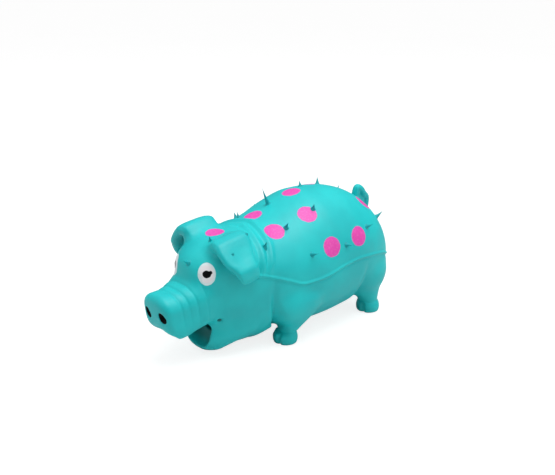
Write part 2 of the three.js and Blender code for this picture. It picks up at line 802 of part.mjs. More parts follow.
function rearStrainer() {
  const cap = turnedSolid(
    [
      [0, 0],
      [spigotRadius - barrelWall, 0],
      [spigotRadius - barrelWall, -spigotLength],
      [spigotRadius, -spigotLength],
      [spigotRadius, 0],
      [barrelRadius, 0],
      [barrelRadius, strainerThickness],
      [0, strainerThickness],
    ],
    24,
    new THREE.Vector3(0, barrelRearY + fitGap, barrelHeight),
  );
  const holeRadius = 1.1;
  const holeDepth = strainerThickness + spigotLength + fitGap;
  const ringRadius = 3.9;
  const holes = 6;
  let strainer = cap;
  for (let i = 0; i <= holes; i += 1) {
    const angle = (i / holes) * Math.PI * 2;
    const out = i === holes ? 0 : ringRadius;
    const hole = turnedSolid(
      [[0, 0], [holeRadius, 0], [holeRadius, holeDepth], [0, holeDepth]],
      6,
      new THREE.Vector3(out * Math.cos(angle), barrelRearY - 1, barrelHeight + out * Math.sin(angle)),
    );
    strainer = strainer.subtract(hole);
  }
  return strainer;
}

// The toy as a scene graph
const toy = new THREE.Group();

function addPiece(name, solid, color, roughness, metalness = 0) {
  const material = new THREE.MeshStandardMaterial({ color, roughness, metalness });
  const mesh = new THREE.Mesh(toGeometry(solid), material);
  mesh.name = name;
  toy.add(mesh);
}

const latexPieces = {
  head_skin: headSkin,
  back_skin: backSkin,
  belly_skin: bellySkin,
  snout_skin: snoutSkin,
  lower_jaw: lowerJaw,
  ear_left: ear(1),
  ear_right: ear(-1),
  leg_front_left: frontLeg(1),
  leg_front_right: frontLeg(-1),
  leg_rear_left: rearLeg(1),
  leg_rear_right: rearLeg(-1),
  tail,
};
Object.entries(latexPieces).forEach(([name, solid]) => addPiece(name, solid, COLOURS.latex, 0.55));
addPiece("body_filling", bodyFilling, COLOURS.fibre, 1);
addPiece("head_filling", headFilling, COLOURS.fibre, 1);
addPiece("snout_filling", snoutFilling, COLOURS.fibre, 1);
addPiece("voice_barrel", voiceBarrel, COLOURS.blackPlastic, 0.5);
addPiece("voice_front_guard", frontGuard(), COLOURS.blackPlastic, 0.5);
addPiece("voice_tone_board", toneBoard(), COLOURS.blackPlastic, 0.5);
addPiece("voice_reed", reedStrip(), COLOURS.brass, 0.3, 1);
addPiece("voice_reed_wedge", reedWedge(), COLOURS.blackPlastic, 0.5);
addPiece("voice_rear_strainer", rearStrainer(), COLOURS.blackPlastic, 0.5);

export default toy;
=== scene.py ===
"""Squeaky pig dog toy, dressed: a painted latex skin, its fibre filling and its voice unit.

Lengths are in millimetres until a mesh is made, and then in metres.
The pig faces -Y, its left side is +X and +Z is up.
"""

import logging
import math
from collections.abc import Callable, Sequence
from dataclasses import dataclass, field
from enum import Enum

import bpy
import numpy as np
import openvdb
from bpy.types import Material, Node, NodeSocket, NodeTree, Object
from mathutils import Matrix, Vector


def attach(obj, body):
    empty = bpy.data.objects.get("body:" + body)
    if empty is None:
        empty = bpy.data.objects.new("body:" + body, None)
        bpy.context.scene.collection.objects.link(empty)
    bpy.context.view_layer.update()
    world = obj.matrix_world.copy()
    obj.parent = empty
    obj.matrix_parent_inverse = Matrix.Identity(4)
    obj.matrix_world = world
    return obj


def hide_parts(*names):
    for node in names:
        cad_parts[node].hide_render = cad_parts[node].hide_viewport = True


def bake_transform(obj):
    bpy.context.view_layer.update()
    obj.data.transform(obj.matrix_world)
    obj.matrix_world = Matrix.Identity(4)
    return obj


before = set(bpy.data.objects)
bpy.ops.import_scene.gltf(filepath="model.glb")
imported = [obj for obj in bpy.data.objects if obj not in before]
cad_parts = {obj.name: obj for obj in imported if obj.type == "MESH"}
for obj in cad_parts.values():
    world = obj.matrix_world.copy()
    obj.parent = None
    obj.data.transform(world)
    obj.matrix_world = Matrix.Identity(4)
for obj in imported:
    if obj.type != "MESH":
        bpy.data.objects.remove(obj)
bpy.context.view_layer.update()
log = logging.getLogger("pig")

MM = 0.001
FAR_OUT = 20.0  # a paint distance that is plainly outside
Array = np.ndarray
Pair = tuple[float, float]
Triple = tuple[float, float, float]
Rows = Sequence[Sequence[float]]


class Side(Enum):
    """The pig's own left and right."""

    LEFT = 1
    RIGHT = -1


# Curves and lofts


class StationCurve:
    """Rows of sizes along a form, joined by a curve that never overshoots its stations."""

    def __init__(self, rows: Rows) -> None:
        """Work out the slopes at the stations.

        Args:
            rows: the station table, one row of sizes for each station.
        """
        self.rows = np.asarray(rows, float)
        steps = np.sqrt((np.diff(self.rows, axis=0) ** 2).sum(axis=1))
        self.places = np.concatenate([[0.0], np.cumsum(steps)])
        rises = np.diff(self.rows, axis=0) / steps[:, None]
        self.slopes = np.zeros_like(self.rows)
        before = 2 * steps[1:, None] + steps[:-1, None]
        after = steps[1:, None] + 2 * steps[:-1, None]
        with np.errstate(divide="ignore", invalid="ignore"):
            inner = (before + after) / (before / rises[:-1] + after / rises[1:])
        self.slopes[1:-1] = np.where(rises[:-1] * rises[1:] > 0, inner, 0.0)
        self.slopes[0] = self._end(steps[0], steps[1], rises[0], rises[1])
        self.slopes[-1] = self._end(steps[-1], steps[-2], rises[-1], rises[-2])

    @staticmethod
    def _end(step: float, following: float, rise: Array, next_rise: Array) -> Array:
        """Return the slopes at an end of the table.

        Args:
            step: the length of the step at the end.
            following: the length of the step beside it.
            rise: how steep each column is over the first.
            next_rise: how steep each column is over the second.

        Returns:
            One slope for each column.
        """
        slope = ((2 * step + following) * rise - step * next_rise) / (step + following)
        steep = (rise * next_rise <= 0) & (np.abs(slope) > 3 * np.abs(rise))
        slope = np.where(steep, 3 * rise, slope)
        return np.where(slope * rise <= 0, 0.0, slope)

    def __call__(self, shares: Array | float) -> Array:
        """Return one row for each share of the length, from 0 to 1.

        Args:
            shares: the shares.

        Returns:
            The rows.
        """
        at = np.clip(np.atleast_1d(shares), 0, 1) * self.places[-1]
        low = np.clip(np.searchsorted(self.places, at) - 1, 0, len(self.places) - 2)
        step = (self.places[low + 1] - self.places[low])[:, None]
        u = (at - self.places[low])[:, None] / step
        rise = u * u * (3 - 2 * u)
        leave = u * (1 - u) ** 2 * step * self.slopes[low]
        arrive = u * u * (u - 1) * step * self.slopes[low + 1]
        return self.rows[low] * (1 - rise) + self.rows[low + 1] * rise + leave + arrive

    def share_at(self, column: int, value: float) -> float:
        """Return the share of the length at which a rising column reaches a value.

        Args:
            column: the column's number.
            value: the value.

        Returns:
            The share.
        """
        low, high = 0.0, 1.0
        for _ in range(40):
            middle = (low + high) / 2
            if self(middle)[0, column] < value:
                low = middle
            else:
                high = middle
        return (low + high) / 2


def smooth(values: Array, low: float, high: float) -> Array:
    """Return 0 below low and 1 above high, with an even run between them."""
    share = np.clip((values - low) / (high - low), 0, 1)
    return share * share * (3 - 2 * share)


def plateau(values: Array, ends: Sequence[float]) -> Array:
    """Return a run that rises between the first two ends and falls between the last two."""
    return smooth(values, *ends[:2]) * (1 - smooth(values, *ends[2:]))


def bump(values: Array, width: float) -> Array:
    """Return a rounded hump of height 1 at zero."""
    return np.exp(-((values / width) ** 2))


def angles(count: int) -> Array:
    """Return even angles round a ring."""
    return np.arange(count) / count * 2 * math.pi


def superellipse(turns: Array, upper: float, lower: float) -> tuple[Array, Array]:
    """Return across and up, from -1 to 1, of a section that is squarer than a circle.

    Args:
        turns: angles round the section.
        upper: squareness above the widest height.
        lower: squareness below it.

    Returns:
        The across and up values at each angle.
    """
    across, up = np.cos(turns), np.sin(turns)
    power = np.where(up > 0, 2 / upper, 2 / lower)
    return np.sign(across) * np.abs(across) ** power, np.sign(up) * np.abs(up) ** power


def barrel(stations: Rows, squareness: Pair, fineness: tuple[int, int]) -> tuple[Array, ...]:
    """Return the X, Y and Z places of the rings of a barrel along Y.

    Args:
        stations: the place along Y, the half width and the lowest, widest and highest heights.
        squareness: of the sections' upper and lower halves.
        fineness: how many rings it has, and how many points a ring has.

    Returns:
        Three arrays, each shaped (rings, points in a ring).
    """
    count, sides = fineness
    y, half, lowest, widest, highest = StationCurve(stations)(np.linspace(0, 1, count)).T[:, :, None]
    across, up = superellipse(angles(sides), *squareness)
    x = half * across
    reach = np.where(up > 0, highest - widest, widest - lowest)
    return x, np.broadcast_to(y, x.shape), widest + reach * up


def closed_tube(rings: Array) -> tuple[Array, Array]:
    """Skin a stack of rings into one closed body.

    Args:
        rings: points, shaped (rings, points in a ring, 3).

    Returns:
        The points and the triangles.
    """
    count, sides, _ = rings.shape
    points = np.concatenate([rings.reshape(-1, 3), rings[0].mean(0)[None], rings[-1].mean(0)[None]])
    j = np.arange(sides)
    k = (j + 1) % sides
    faces = []
    for i in range(count - 1):
        here, there = i * sides, (i + 1) * sides
        faces.append(np.stack([here + j, there + j, here + k], axis=1))
        faces.append(np.stack([there + j, there + k, here + k], axis=1))
    last = (count - 1) * sides
    faces.append(np.stack([np.full(sides, count * sides), j, k], axis=1))
    faces.append(np.stack([np.full(sides, count * sides + 1), last + k, last + j], axis=1))
    return points, np.concatenate(faces)


def ellipsoid(
    centre: Triple, half: Triple, fineness: tuple[int, int], squareness: Pair = (2, 2)
) -> Array:
    """Return the rings of an ellipsoid, from its -Y end to its +Y end.

    Args:
        centre: its middle.
        half: half its size each way.
        fineness: how many rings it has, and how many points a ring has.
        squareness: of its upper and lower halves, 2 for a true ellipsoid.

    Returns:
        The rings, shaped (rings, points in a ring, 3).
    """
    count, sides = fineness
    tilt = np.linspace(0, math.pi, count)[:, None]
    across, up = superellipse(angles(sides), *squareness)
    unit = [np.sin(tilt) * across, -np.cos(tilt) + 0 * across, np.sin(tilt) * up]
    return np.asarray(centre) + np.stack(unit, axis=2) * np.asarray(half)


def vertex_normals(points: Array, quads: Array) -> Array:
    """Return the mean normal of the faces round each point.

    Args:
        points: the places.
        quads: the point numbers of each face.

    Returns:
        One normal for each point.
    """
    a, b, c, d = (points[quads[:, i]] for i in range(4))
    cross = np.cross(c - a, d - b)
    total = np.zeros_like(points)
    for i in range(4):
        for axis in range(3):
            total[:, axis] += np.bincount(quads[:, i], cross[:, axis], len(points))
    return total / np.maximum(np.linalg.norm(total, axis=1), 1e-9)[:, None]


def round_cord(points: Array, radii: Array, sides: int, up: Sequence[float]) -> Array:
    """Return rings square to a run of points.

    Args:
        points: the run.
        radii: the radius at each point.
        sides: how many points a ring has.
        up: a direction that the run never follows.

    Returns:
        The rings, shaped (points, sides, 3).
    """
    run = np.gradient(points, axis=0)
    run /= np.linalg.norm(run, axis=1)[:, None]
    side = np.cross(run, np.asarray(up, float))
    side /= np.linalg.norm(side, axis=1)[:, None]
    lift = np.cross(side, run)
    turns = angles(sides)[None, :, None]
    spokes = side[:, None] * np.cos(turns) + lift[:, None] * np.sin(turns)
    return points[:, None] + radii[:, None, None] * spokes


# Distances to a surface on a lattice of points


@dataclass(frozen=True)
class Lattice:
    """A block of evenly spaced points that holds distances to the skin."""

    low: Triple
    high: Triple
    pitch: float
    reach: float = 11.0

    @property
    def corner(self) -> Array:
        """Return the lattice's first point in whole steps."""
        return np.floor(np.asarray(self.low) / self.pitch).astype(int)

    @property
    def shape(self) -> tuple[int, int, int]:
        """Return the number of points each way."""
        return tuple(np.ceil(np.asarray(self.high) / self.pitch).astype(int) - self.corner + 1)

    def axes(self) -> tuple[Array, Array, Array]:
        """Return the X, Y and Z places, shaped to spread over the block.

        Returns:
            Three arrays.
        """
        x, y, z = ((self.corner[i] + np.arange(self.shape[i])) * self.pitch for i in range(3))
        return (
            x[:, None, None].astype(np.float32),
            y[None, :, None].astype(np.float32),
            z[None, None, :].astype(np.float32),
        )

    def _transform(self) -> openvdb.Transform:
        """Return the scale between steps and millimetres."""
        return openvdb.createLinearTransform(voxelSize=self.pitch)

    def measure(self, rings: Array) -> Array:
        """Return the distance from each point to a closed tube, negative inside it.

        Args:
            rings: the tube's rings.

        Returns:
            The distances, cut off at the reach.
        """
        points, faces = closed_tube(rings)
        grid = openvdb.FloatGrid.createLevelSetFromPolygons(
            points.astype(np.float32),
            triangles=faces.astype(np.uint32),
            transform=self._transform(),
            halfWidth=self.reach / self.pitch,
        )
        values = np.full(self.shape, self.reach, np.float32)
        first = np.floor((points.min(0) - self.reach) / self.pitch).astype(int) - self.corner
        last = np.ceil((points.max(0) + self.reach) / self.pitch).astype(int) - self.corner + 1
        first, last = np.maximum(first, 0), np.minimum(last, self.shape)
        block = np.zeros(last - first, np.float32)
        grid.copyToArray(block, ijk=tuple(int(i) for i in self.corner + first))
        values[first[0] : last[0], first[1] : last[1], first[2] : last[2]] = block
        return values

    def points(self) -> Array:
        """Return every point of the lattice, one in a row."""
        return (np.stack(np.indices(self.shape), axis=-1).reshape(-1, 3) + self.corner) * self.pitch

    def skin(self, values: Array) -> tuple[Array, Array]:
        """Return the points and quads of the surface at distance zero.

        Args:
            values: distances at the lattice's points.

        Returns:
            The points and the quads.
        """
        grid = openvdb.FloatGrid(self.reach)
        grid.transform = self._transform()
        grid.copyFromArray(values, ijk=tuple(int(i) for i in self.corner))
        points, quads = grid.convertToQuads(isovalue=0.0)
        points = points.astype(float)
        slope = self.slope(values, points)
        square = np.maximum((slope**2).sum(1), 0.25)
        step = np.clip(self.sample(values, points) / square, -self.pitch / 2, self.pitch / 2)
        return points - slope * step[:, None], quads.astype(int)

    def sample(self, values: Array, points: Array) -> Array:
        """Return the values at points between the lattice's own.

        Args:
            values: values at the lattice's points.
            points: the places, one in a row.

        Returns:
            One value for each place.
        """
        at = points / self.pitch - self.corner
        low = np.clip(np.floor(at).astype(int), 0, np.asarray(self.shape) - 2)
        share = (at - low).T
        flat = values.ravel()
        _, across, up = self.shape
        first = (low[:, 0] * across + low[:, 1]) * up + low[:, 2]
        total = np.zeros(len(points))
        for i, j, k in np.ndindex(2, 2, 2):
            weight = share[0] if i else 1 - share[0]
            weight = weight * (share[1] if j else 1 - share[1]) * (share[2] if k else 1 - share[2])
            total += weight * flat[first + (i * across + j) * up + k]
        return total

    def slope(self, values: Array, points: Array) -> Array:
        """Return the direction in which the values rise, at each point.

        Args:
            values: values at the lattice's points.
            points: the places, one in a row.

        Returns:
            One direction for each place.
        """
        step = self.pitch
        ways = []
        for axis in np.eye(3) * step:
            rise = self.sample(values, points + axis) - self.sample(values, points - axis)
            ways.append(rise / (2 * step))
        return np.stack(ways, axis=1)


def joined(first: Array, second: Array, fillet: Array | float) -> Array:
    """Join two bodies, given by distances, with a fillet between them.

    Args:
        first: distances to one body.
        second: distances to the other.
        fillet: how wide the fillet is.

    Returns:
        Distances to the joined body.
    """
    fillet = np.maximum(fillet, 1e-3)
    near = np.maximum(fillet - np.abs(first - second), 0) / fillet
    return np.minimum(first, second) - near * near * fillet / 4


def cut(first: Array, second: Array, fillet: Array | float) -> Array:
    """Cut the second body out of the first, with a rounded edge."""
    return -joined(-first, second, fillet)


# Forms


@dataclass(frozen=True)
class Trunk:
    """The head and the body as one barrel along Y, and the parting bead round it."""

    stations: Rows = (
        (-84, 0, 62, 62, 62),
        (-83, 8.5, 50, 62, 70),
        (-79.5, 15.5, 38, 62, 75),
        (-73.5, 21.5, 26, 62, 79.5),
        (-65.5, 27, 13.5, 62.5, 83.5),
        (-56, 31.5, 8.5, 64, 86),
        (-46, 35.5, 5, 63, 86.5),
        (-36, 38.5, 3.5, 60, 86.5),
        (-24, 41.5, 7, 55.5, 88),
        (-10, 44, 10, 50.5, 92),
        (8, 46, 6, 51.5, 99),
        (26, 46.5, 5.5, 55.5, 103),
        (44, 46.5, 7, 57.5, 102.5),
        (62, 44.5, 10, 56, 98.6),
        (78, 40, 14, 52.5, 89),
        (91, 30.5, 19.5, 46.5, 71),
        (100, 21, 24.5, 41.5, 57.8),
        (106, 13, 30, 40, 51),
        (108.5, 0, 39.5, 39.5, 39.5),
    )
    squareness: Pair = (2.1, 2.3)
    fineness: tuple[int, int] = (150, 140)
    bead_height: float = 0.95
    bead_width: float = 0.85
    bead_drop: float = 1.4
    bead_start_y: float = -54
    bead_fade: float = 8
    groove_depth: float = 0.35
    groove_drop: float = 1.87

    def curve(self) -> StationCurve:
        """Return the curve through the stations."""
        return StationCurve(self.stations)

    def rings(self) -> Array:
        """Return the rings of the barrel."""
        return np.stack(barrel(self.stations, self.squareness, self.fineness), axis=2)

    def at(self, y: float, degrees: float) -> Array:
        """Return the point of the surface at a place along Y and an angle round it.

        Args:
            y: the place along Y.
            degrees: the angle, 90 at the top.

        Returns:
            The point.
        """
        curve = self.curve()
        _, half, lowest, widest, highest = curve(curve.share_at(0, y))[0]
        across, up = superellipse(np.array([math.radians(degrees)]), *self.squareness)
        reach = highest - widest if up[0] > 0 else widest - lowest
        return np.array([half * across[0], y, widest + reach * up[0]])

    def parting(self, y: Array) -> tuple[Array, Array]:
        """Return the height of the parting line and its slope at places along Y.

        Args:
            y: the places along Y.

        Returns:
            The heights and the slopes.
        """
        along, height = self.curve()(np.linspace(0, 1, 400))[:, (0, 3)].T
        slopes = np.gradient(height, along + 1e-9 * np.arange(len(along)))
        return np.interp(y, along, height), np.interp(y, along[1:-1], slopes[1:-1])

    def beaded(self, points: Array) -> Array:
        """Return how far the parting bead and the groove under it move the skin at each point.

        Args:
            points: places on the skin, one in a row.

        Returns:
            One move for each place.
        """
        height, slope = self.parting(points[:, 1])
        off = (points[:, 2] - height + self.bead_drop) / np.sqrt(1 + slope**2)
        groove = self.groove_depth * bump(off + self.groove_drop, self.bead_width)
        start = smooth(points[:, 1], self.bead_start_y, self.bead_start_y + self.bead_fade)
        return (self.bead_height * bump(off, self.bead_width) - groove) * start


@dataclass(frozen=True)
class Snout:
    """A tapering barrel with a blunt face, a cleft upper lip, wrinkles and two nostrils."""

    stations: Rows = (
        (-109.5, 0, 41.5, 41.5, 41.5),
        (-109.1, 8.5, 33.5, 41.5, 48.5),
        (-107.5, 13.2, 28.8, 41.5, 51.8),
        (-104.5, 15.2, 25.2, 41.5, 53.4),
        (-100.5, 15.6, 22.6, 41.5, 53.5),
        (-96, 16, 20.6, 42, 53.8),
        (-91, 17, 21.5, 43, 55.2),
        (-85, 18.8, 24.2, 44.5, 57.6),
        (-78, 21, 27, 46.5, 59.5),
        (-70, 20.5, 28, 47, 60),
        (-62, 14, 36, 50, 62),
        (-60, 0, 50, 50, 50),
    )
    squareness: Pair = (2.3, 4.6)
    fineness: tuple[int, int] = (200, 100)
    cleft_depth: float = 6
    cleft_half_width: float = 6
    cleft_y: float = -98
    cleft_length: float = 8
    face_lean: float = 0.13
    face_top: float = 48
    face_ys: Pair = (-104.5, -92)
    wrinkle_depth: float = 0.6
    wrinkle_half_width: float = 0.75
    roll_height: float = 0.12
    roll_half_width: float = 2.2
    wrinkle_ys: tuple[float, ...] = (-97.8, -92.6, -87, -80.5)
    wrinkle_sweep: float = 2.2
    wrinkle_turns: Pair = (-0.7, 1.6)
    wrinkle_degrees: Pair = (-40, 25)
    wrinkle_top: Pair = (61, 66)
    middle_height: float = 41.5
    root_y: float = -76
    nostril_across: float = 8
    nostril_height: float = 39.5
    nostril_half: Pair = (3.25, 3.7)
    nostril_shift: float = 1.0
    nostril_lean: float = 0.3
    nostril_depth: float = 2.6
    nostril_slope: Pair = (-0.5, 2)
    nostril_rear_y: float = -96

    def rings(self) -> Array:
        """Return the rings of the snout, with its cleft and wrinkles.

        Returns:
            The rings, shaped (rings, points in a ring, 3).
        """
        x, y, z = barrel(self.stations, self.squareness, self.fineness)
        cleft = bump(x, self.cleft_half_width) * bump(y - self.cleft_y, self.cleft_length)
        z = z + self.cleft_depth * cleft * np.maximum(0, -np.sin(angles(self.fineness[1])))
        front = 1 - smooth(y, *self.face_ys)
        y = y + self.face_lean * np.maximum(0, self.face_top - z) * front
        return np.stack([x, y, z], axis=2)

    def wrinkled(self, points: Array) -> Array:
        """Return how far the rolls and grooves over the bridge lift the skin at each point.

        Args:
            points: places on the skin, one in a row.

        Returns:
            One move for each place.
        """
        turn = np.arctan2(points[:, 2] - self.middle_height, np.abs(points[:, 0]))
        over = smooth(turn, *np.radians(self.wrinkle_degrees))
        y = points[:, 1] - self.wrinkle_sweep * (1 - np.sin(np.clip(turn, *self.wrinkle_turns)))
        lift = np.zeros(len(points))
        for place in np.convolve(self.wrinkle_ys, (0.5, 0.5), "valid"):
            lift += self.roll_height * bump(y - place, self.roll_half_width)
        for place in self.wrinkle_ys:
            lift -= self.wrinkle_depth * bump(y - place, self.wrinkle_half_width)
        return lift * over * (1 - smooth(points[:, 2], *self.wrinkle_top))

    def nostril_distance(self, points: Array, side: Side) -> Array:
        """Return how far points lie outside a nostril's oval, seen from in front of the snout.

        Args:
            points: places on the skin, one in a row.
            side: which nostril it is.

        Returns:
            One distance for each place.
        """
        up = points[:, 2] - self.nostril_height
        middle = self.nostril_shift + side.value * self.nostril_across
        across = points[:, 0] - middle + self.nostril_lean * up
        half_across, half_up = self.nostril_half
        oval = (np.hypot(across / half_across, up / half_up) - 1) * half_across
        return np.maximum(oval, points[:, 1] - self.nostril_rear_y)


@dataclass(frozen=True)
class Jaw:
    """The lower jaw and the mouth that is scooped out above it."""

    stations: Rows = (
        (-78.5, 0, 14.5, 14.5, 14.5),
        (-78, 5.5, 11.2, 14.5, 18),
        (-75.6, 11, 7.2, 14.5, 20.5),
        (-71.5, 15.5, 3.6, 15, 22.5),
        (-66, 19.5, 2.4, 15.5, 24),
        (-60, 22.5, 4, 18, 28),
        (-54, 25, 7, 20, 32),
        (-46, 26, 9.5, 22, 34),
        (-40, 0, 22, 22, 22),
    )
    squareness: Pair = (2.3, 2.3)
    fineness: tuple[int, int] = (90, 90)
    mouth_centre: Triple = (0, -72.2, 16.6)
    mouth_half: Triple = (12.8, 10.6, 10.6)
    mouth_squareness: Pair = (3.2, 2.1)
    mouth_fineness: tuple[int, int] = (60, 80)
    throat_front: float = -66.5
    throat_radius: float = 7.5
    throat_height: float = 22
    bore_radius: float = 9.3
    bore_y: Pair = (-58.2, -33.6)

    def rings(self) -> Array:
        """Return the rings of the jaw."""
        return np.stack(barrel(self.stations, self.squareness, self.fineness), axis=2)

    def mouth_rings(self) -> Array:
        """Return the rings of the scooped mouth, squarer under the upper lip than at its floor."""
        return ellipsoid(self.mouth_centre, self.mouth_half, self.mouth_fineness, self.mouth_squareness)

    def throat(self, lattice: Lattice) -> Array:
        """Return distances to the throat and to the bore that holds the voice unit.

        Args:
            lattice: the block of points.

        Returns:
            One distance for each point.
        """
        x, y, z = lattice.axes()
        out = np.hypot(x, z - self.throat_height)
        front, rear = self.bore_y
        throat = np.maximum(out - self.throat_radius, np.maximum(self.throat_front - y, y - front - 1))
        bore = np.maximum(out - self.bore_radius, np.maximum(front - y, y - rear))
        return np.minimum(throat, bore)


@dataclass(frozen=True)
class Leg:
    """A short leg with a cloven hoof."""

    x: float
    y: float
    splay: float
    set_back: float
    stations: Rows = (
        (0, 7.6, 7.2),
        (0.9, 8.8, 8.4),
        (4.5, 9.4, 9),
        (8.3, 8.5, 8.2),
        (9.6, 7.9, 7.8),
        (13, 8.4, 8.8),
        (20, 9.6, 11.5),
        (28, 11.4, 13.5),
        (35, 12, 14),
        (39, 8, 10),
        (40, 0, 0),
    )
    fineness: tuple[int, int] = (90, 96)
    hoof_height: float = 8.5
    hip_height: float = 30
    rise_power: float = 0.8
    cleft_depth: float = 1.8
    cleft_degrees: float = 12
    cleft_sharpness: float = 80
    cleft_fade: Pair = (6, 9.5)
    groove_height: float = 9.4
    groove_depth: float = 0.5
    groove_width: float = 0.7
    groove_reach: float = 11.5

    def rings(self) -> Array:
        """Return the rings of the leg.

        Returns:
            The rings, shaped (rings, points in a ring, 3).
        """
        count, sides = self.fineness
        z, across, along = StationCurve(self.stations)(np.linspace(0, 1, count)).T[:, :, None]
        turns = angles(sides)
        toe = math.radians(-90 + math.copysign(self.cleft_degrees, self.x))
        facing = np.maximum(0, np.cos(turns - toe)) ** self.cleft_sharpness
        cleft = np.where(z < self.hoof_height, self.cleft_depth * facing, 0)
        cleft = cleft * (1 - smooth(z, *self.cleft_fade))
        rise = np.clip((z - self.hoof_height) / (self.hip_height - self.hoof_height), 0, 1)
        rise = rise**self.rise_power
        x = self.x + math.copysign(self.splay, self.x) * rise + across * np.cos(turns)
        y = self.y + self.set_back * rise + (along - cleft) * np.sin(turns)
        return np.stack([x, y, np.broadcast_to(z, x.shape)], axis=2)

    def grooved(self, points: Array) -> Array:
        """Return how deep the groove over the hoof is cut at each point."""
        near = np.hypot(points[:, 0] - self.x, points[:, 1] - self.y) < self.groove_reach
        return self.groove_depth * bump(points[:, 2] - self.groove_height, self.groove_width) * near


@dataclass(frozen=True)
class Haunch:
    """A rounded swelling of the shoulder or the hip above a leg."""

    centre: Triple
    half: Triple
    fineness: tuple[int, int] = (60, 72)

    def rings(self) -> Array:
        """Return the rings of the swelling."""
        return ellipsoid(self.centre, self.half, self.fineness)


@dataclass(frozen=True)
class Ear:
    """A folded flap that stands off the head beyond its root."""

    side: Side
    set_back: float
    lean: float
    lift: float
    stations: Rows = (
        (10, 78, -58, 11, 4.2),
        (14.5, 83, -58, 13, 4.2),
        (18.5, 85.4, -58.3, 13.8, 3.7),
        (22.3, 85.2, -58.8, 13.9, 3.2),
        (25.5, 83, -59.2, 13.7, 2.8),
        (29, 79.6, -59.8, 12.8, 2.5),
        (33, 75.2, -60, 11.4, 2.4),
        (36, 71.8, -59, 9.8, 2.6),
        (38, 68.8, -58, 8.8, 2.8),
        (38.2, 65.2, -56.6, 8.4, 2.6),
        (37.2, 62, -55.2, 7.4, 2.3),
        (36, 60.7, -54.8, 5, 1.8),
        (35.2, 60.3, -54.6, 0, 0),
    )
    squareness: float = 3.0
    fineness: tuple[int, int] = (110, 90)
    crease_x: float = 12
    free_x: float = 30
    clearance: float = 0.9
    root_fillet: float = 6
    root_run: float = 4
    root_depth: float = 3
    root_sink: float = 7
    free_fillet: float = 0.5
    edge_fillet: float = 0.8
    under: float = 1.8
    under_shares: Sequence[float] = (0, 0.15, 0.7, 0.95)
    dish_depth: float = 0.9
    dish_middle: float = 0.08
    dish_width: float = 0.55
    dish_shares: Sequence[float] = (0.3, 0.5, 0.55, 0.72)
    rim_share: float = 0.15
    lift_share: float = 0.25
    horns: Rows = ((30.9, -64.5, 80), (24.2, -47.2, 88.5))
    horn_height: float = 1.3
    block: Rows = ((4, 45), (-80, -32), (52, 96))

    def rings(self) -> Array:
        """Return the rings of the flap, dished on its outer face.

        Returns:
            The rings, shaped (rings, points in a ring, 3).
        """
        count, sides = self.fineness
        curve = StationCurve(self.stations)
        shares = np.linspace(0, 1, count)
        x, z, y, half, thick = curve(shares).T[:, :, None]
        ahead, behind = curve(shares + 0.004), curve(shares - 0.004)
        run = ahead[:, :2] - behind[:, :2]
        run /= np.linalg.norm(run, axis=1)[:, None]
        across, out = superellipse(angles(sides), self.squareness, self.squareness)
        dish = bump(across - self.dish_middle, self.dish_width)
        dish = dish * plateau(shares, self.dish_shares)[:, None]
        deeper = 1 + (self.under - 1) * plateau(shares, self.under_shares)[:, None]
        rim = np.clip((1 + across) / self.rim_share, 0, 1)
        outer = thick * np.minimum(out, rim) - self.dish_depth * dish * out
        out = np.where(out > 0, outer, thick * out * deeper)
        across = half * across
        lift = self.lift * (smooth(shares, 0, self.lift_share) * (1 - shares))[:, None]
        return np.stack(
            [
                self.side.value * (x - run[:, 1:] * out),
                y + self.set_back + across,
                z + run[:, :1] * out + self.lean * across + lift,
            ],
            axis=2,
        )

    def lattice(self, pitch: float) -> Lattice:
        """Return the block of points that holds the ear.

        Args:
            pitch: the gap between its points.

        Returns:
            The block.
        """
        across, along, up = self.block
        left, right = sorted(self.side.value * x for x in across)
        return Lattice((left, along[0], up[0]), (right, along[1], up[1]), pitch)

    def flap(self, lattice: Lattice, plain: Array) -> tuple[Array, Array]:
        """Return distances to the flap, clear of the head beyond its root, and the fillet at its root.

        Args:
            lattice: the block of points that holds the ear.
            plain: distances to the head's barrel at its points.

        Returns:
            The distances and the size of the fillet at each point.
        """
        out = np.abs(lattice.axes()[0])
        start = self.crease_x + self.root_run
        gap = -self.root_sink + (self.root_sink + self.clearance) * smooth(out, start, self.free_x)
        values = -joined(-lattice.measure(self.rings()), plain - gap, self.edge_fillet)
        rooted = 1 - smooth(out, start, self.free_x - self.root_run / 2)
        return values, self.free_fillet + (self.root_fillet - self.free_fillet) * rooted


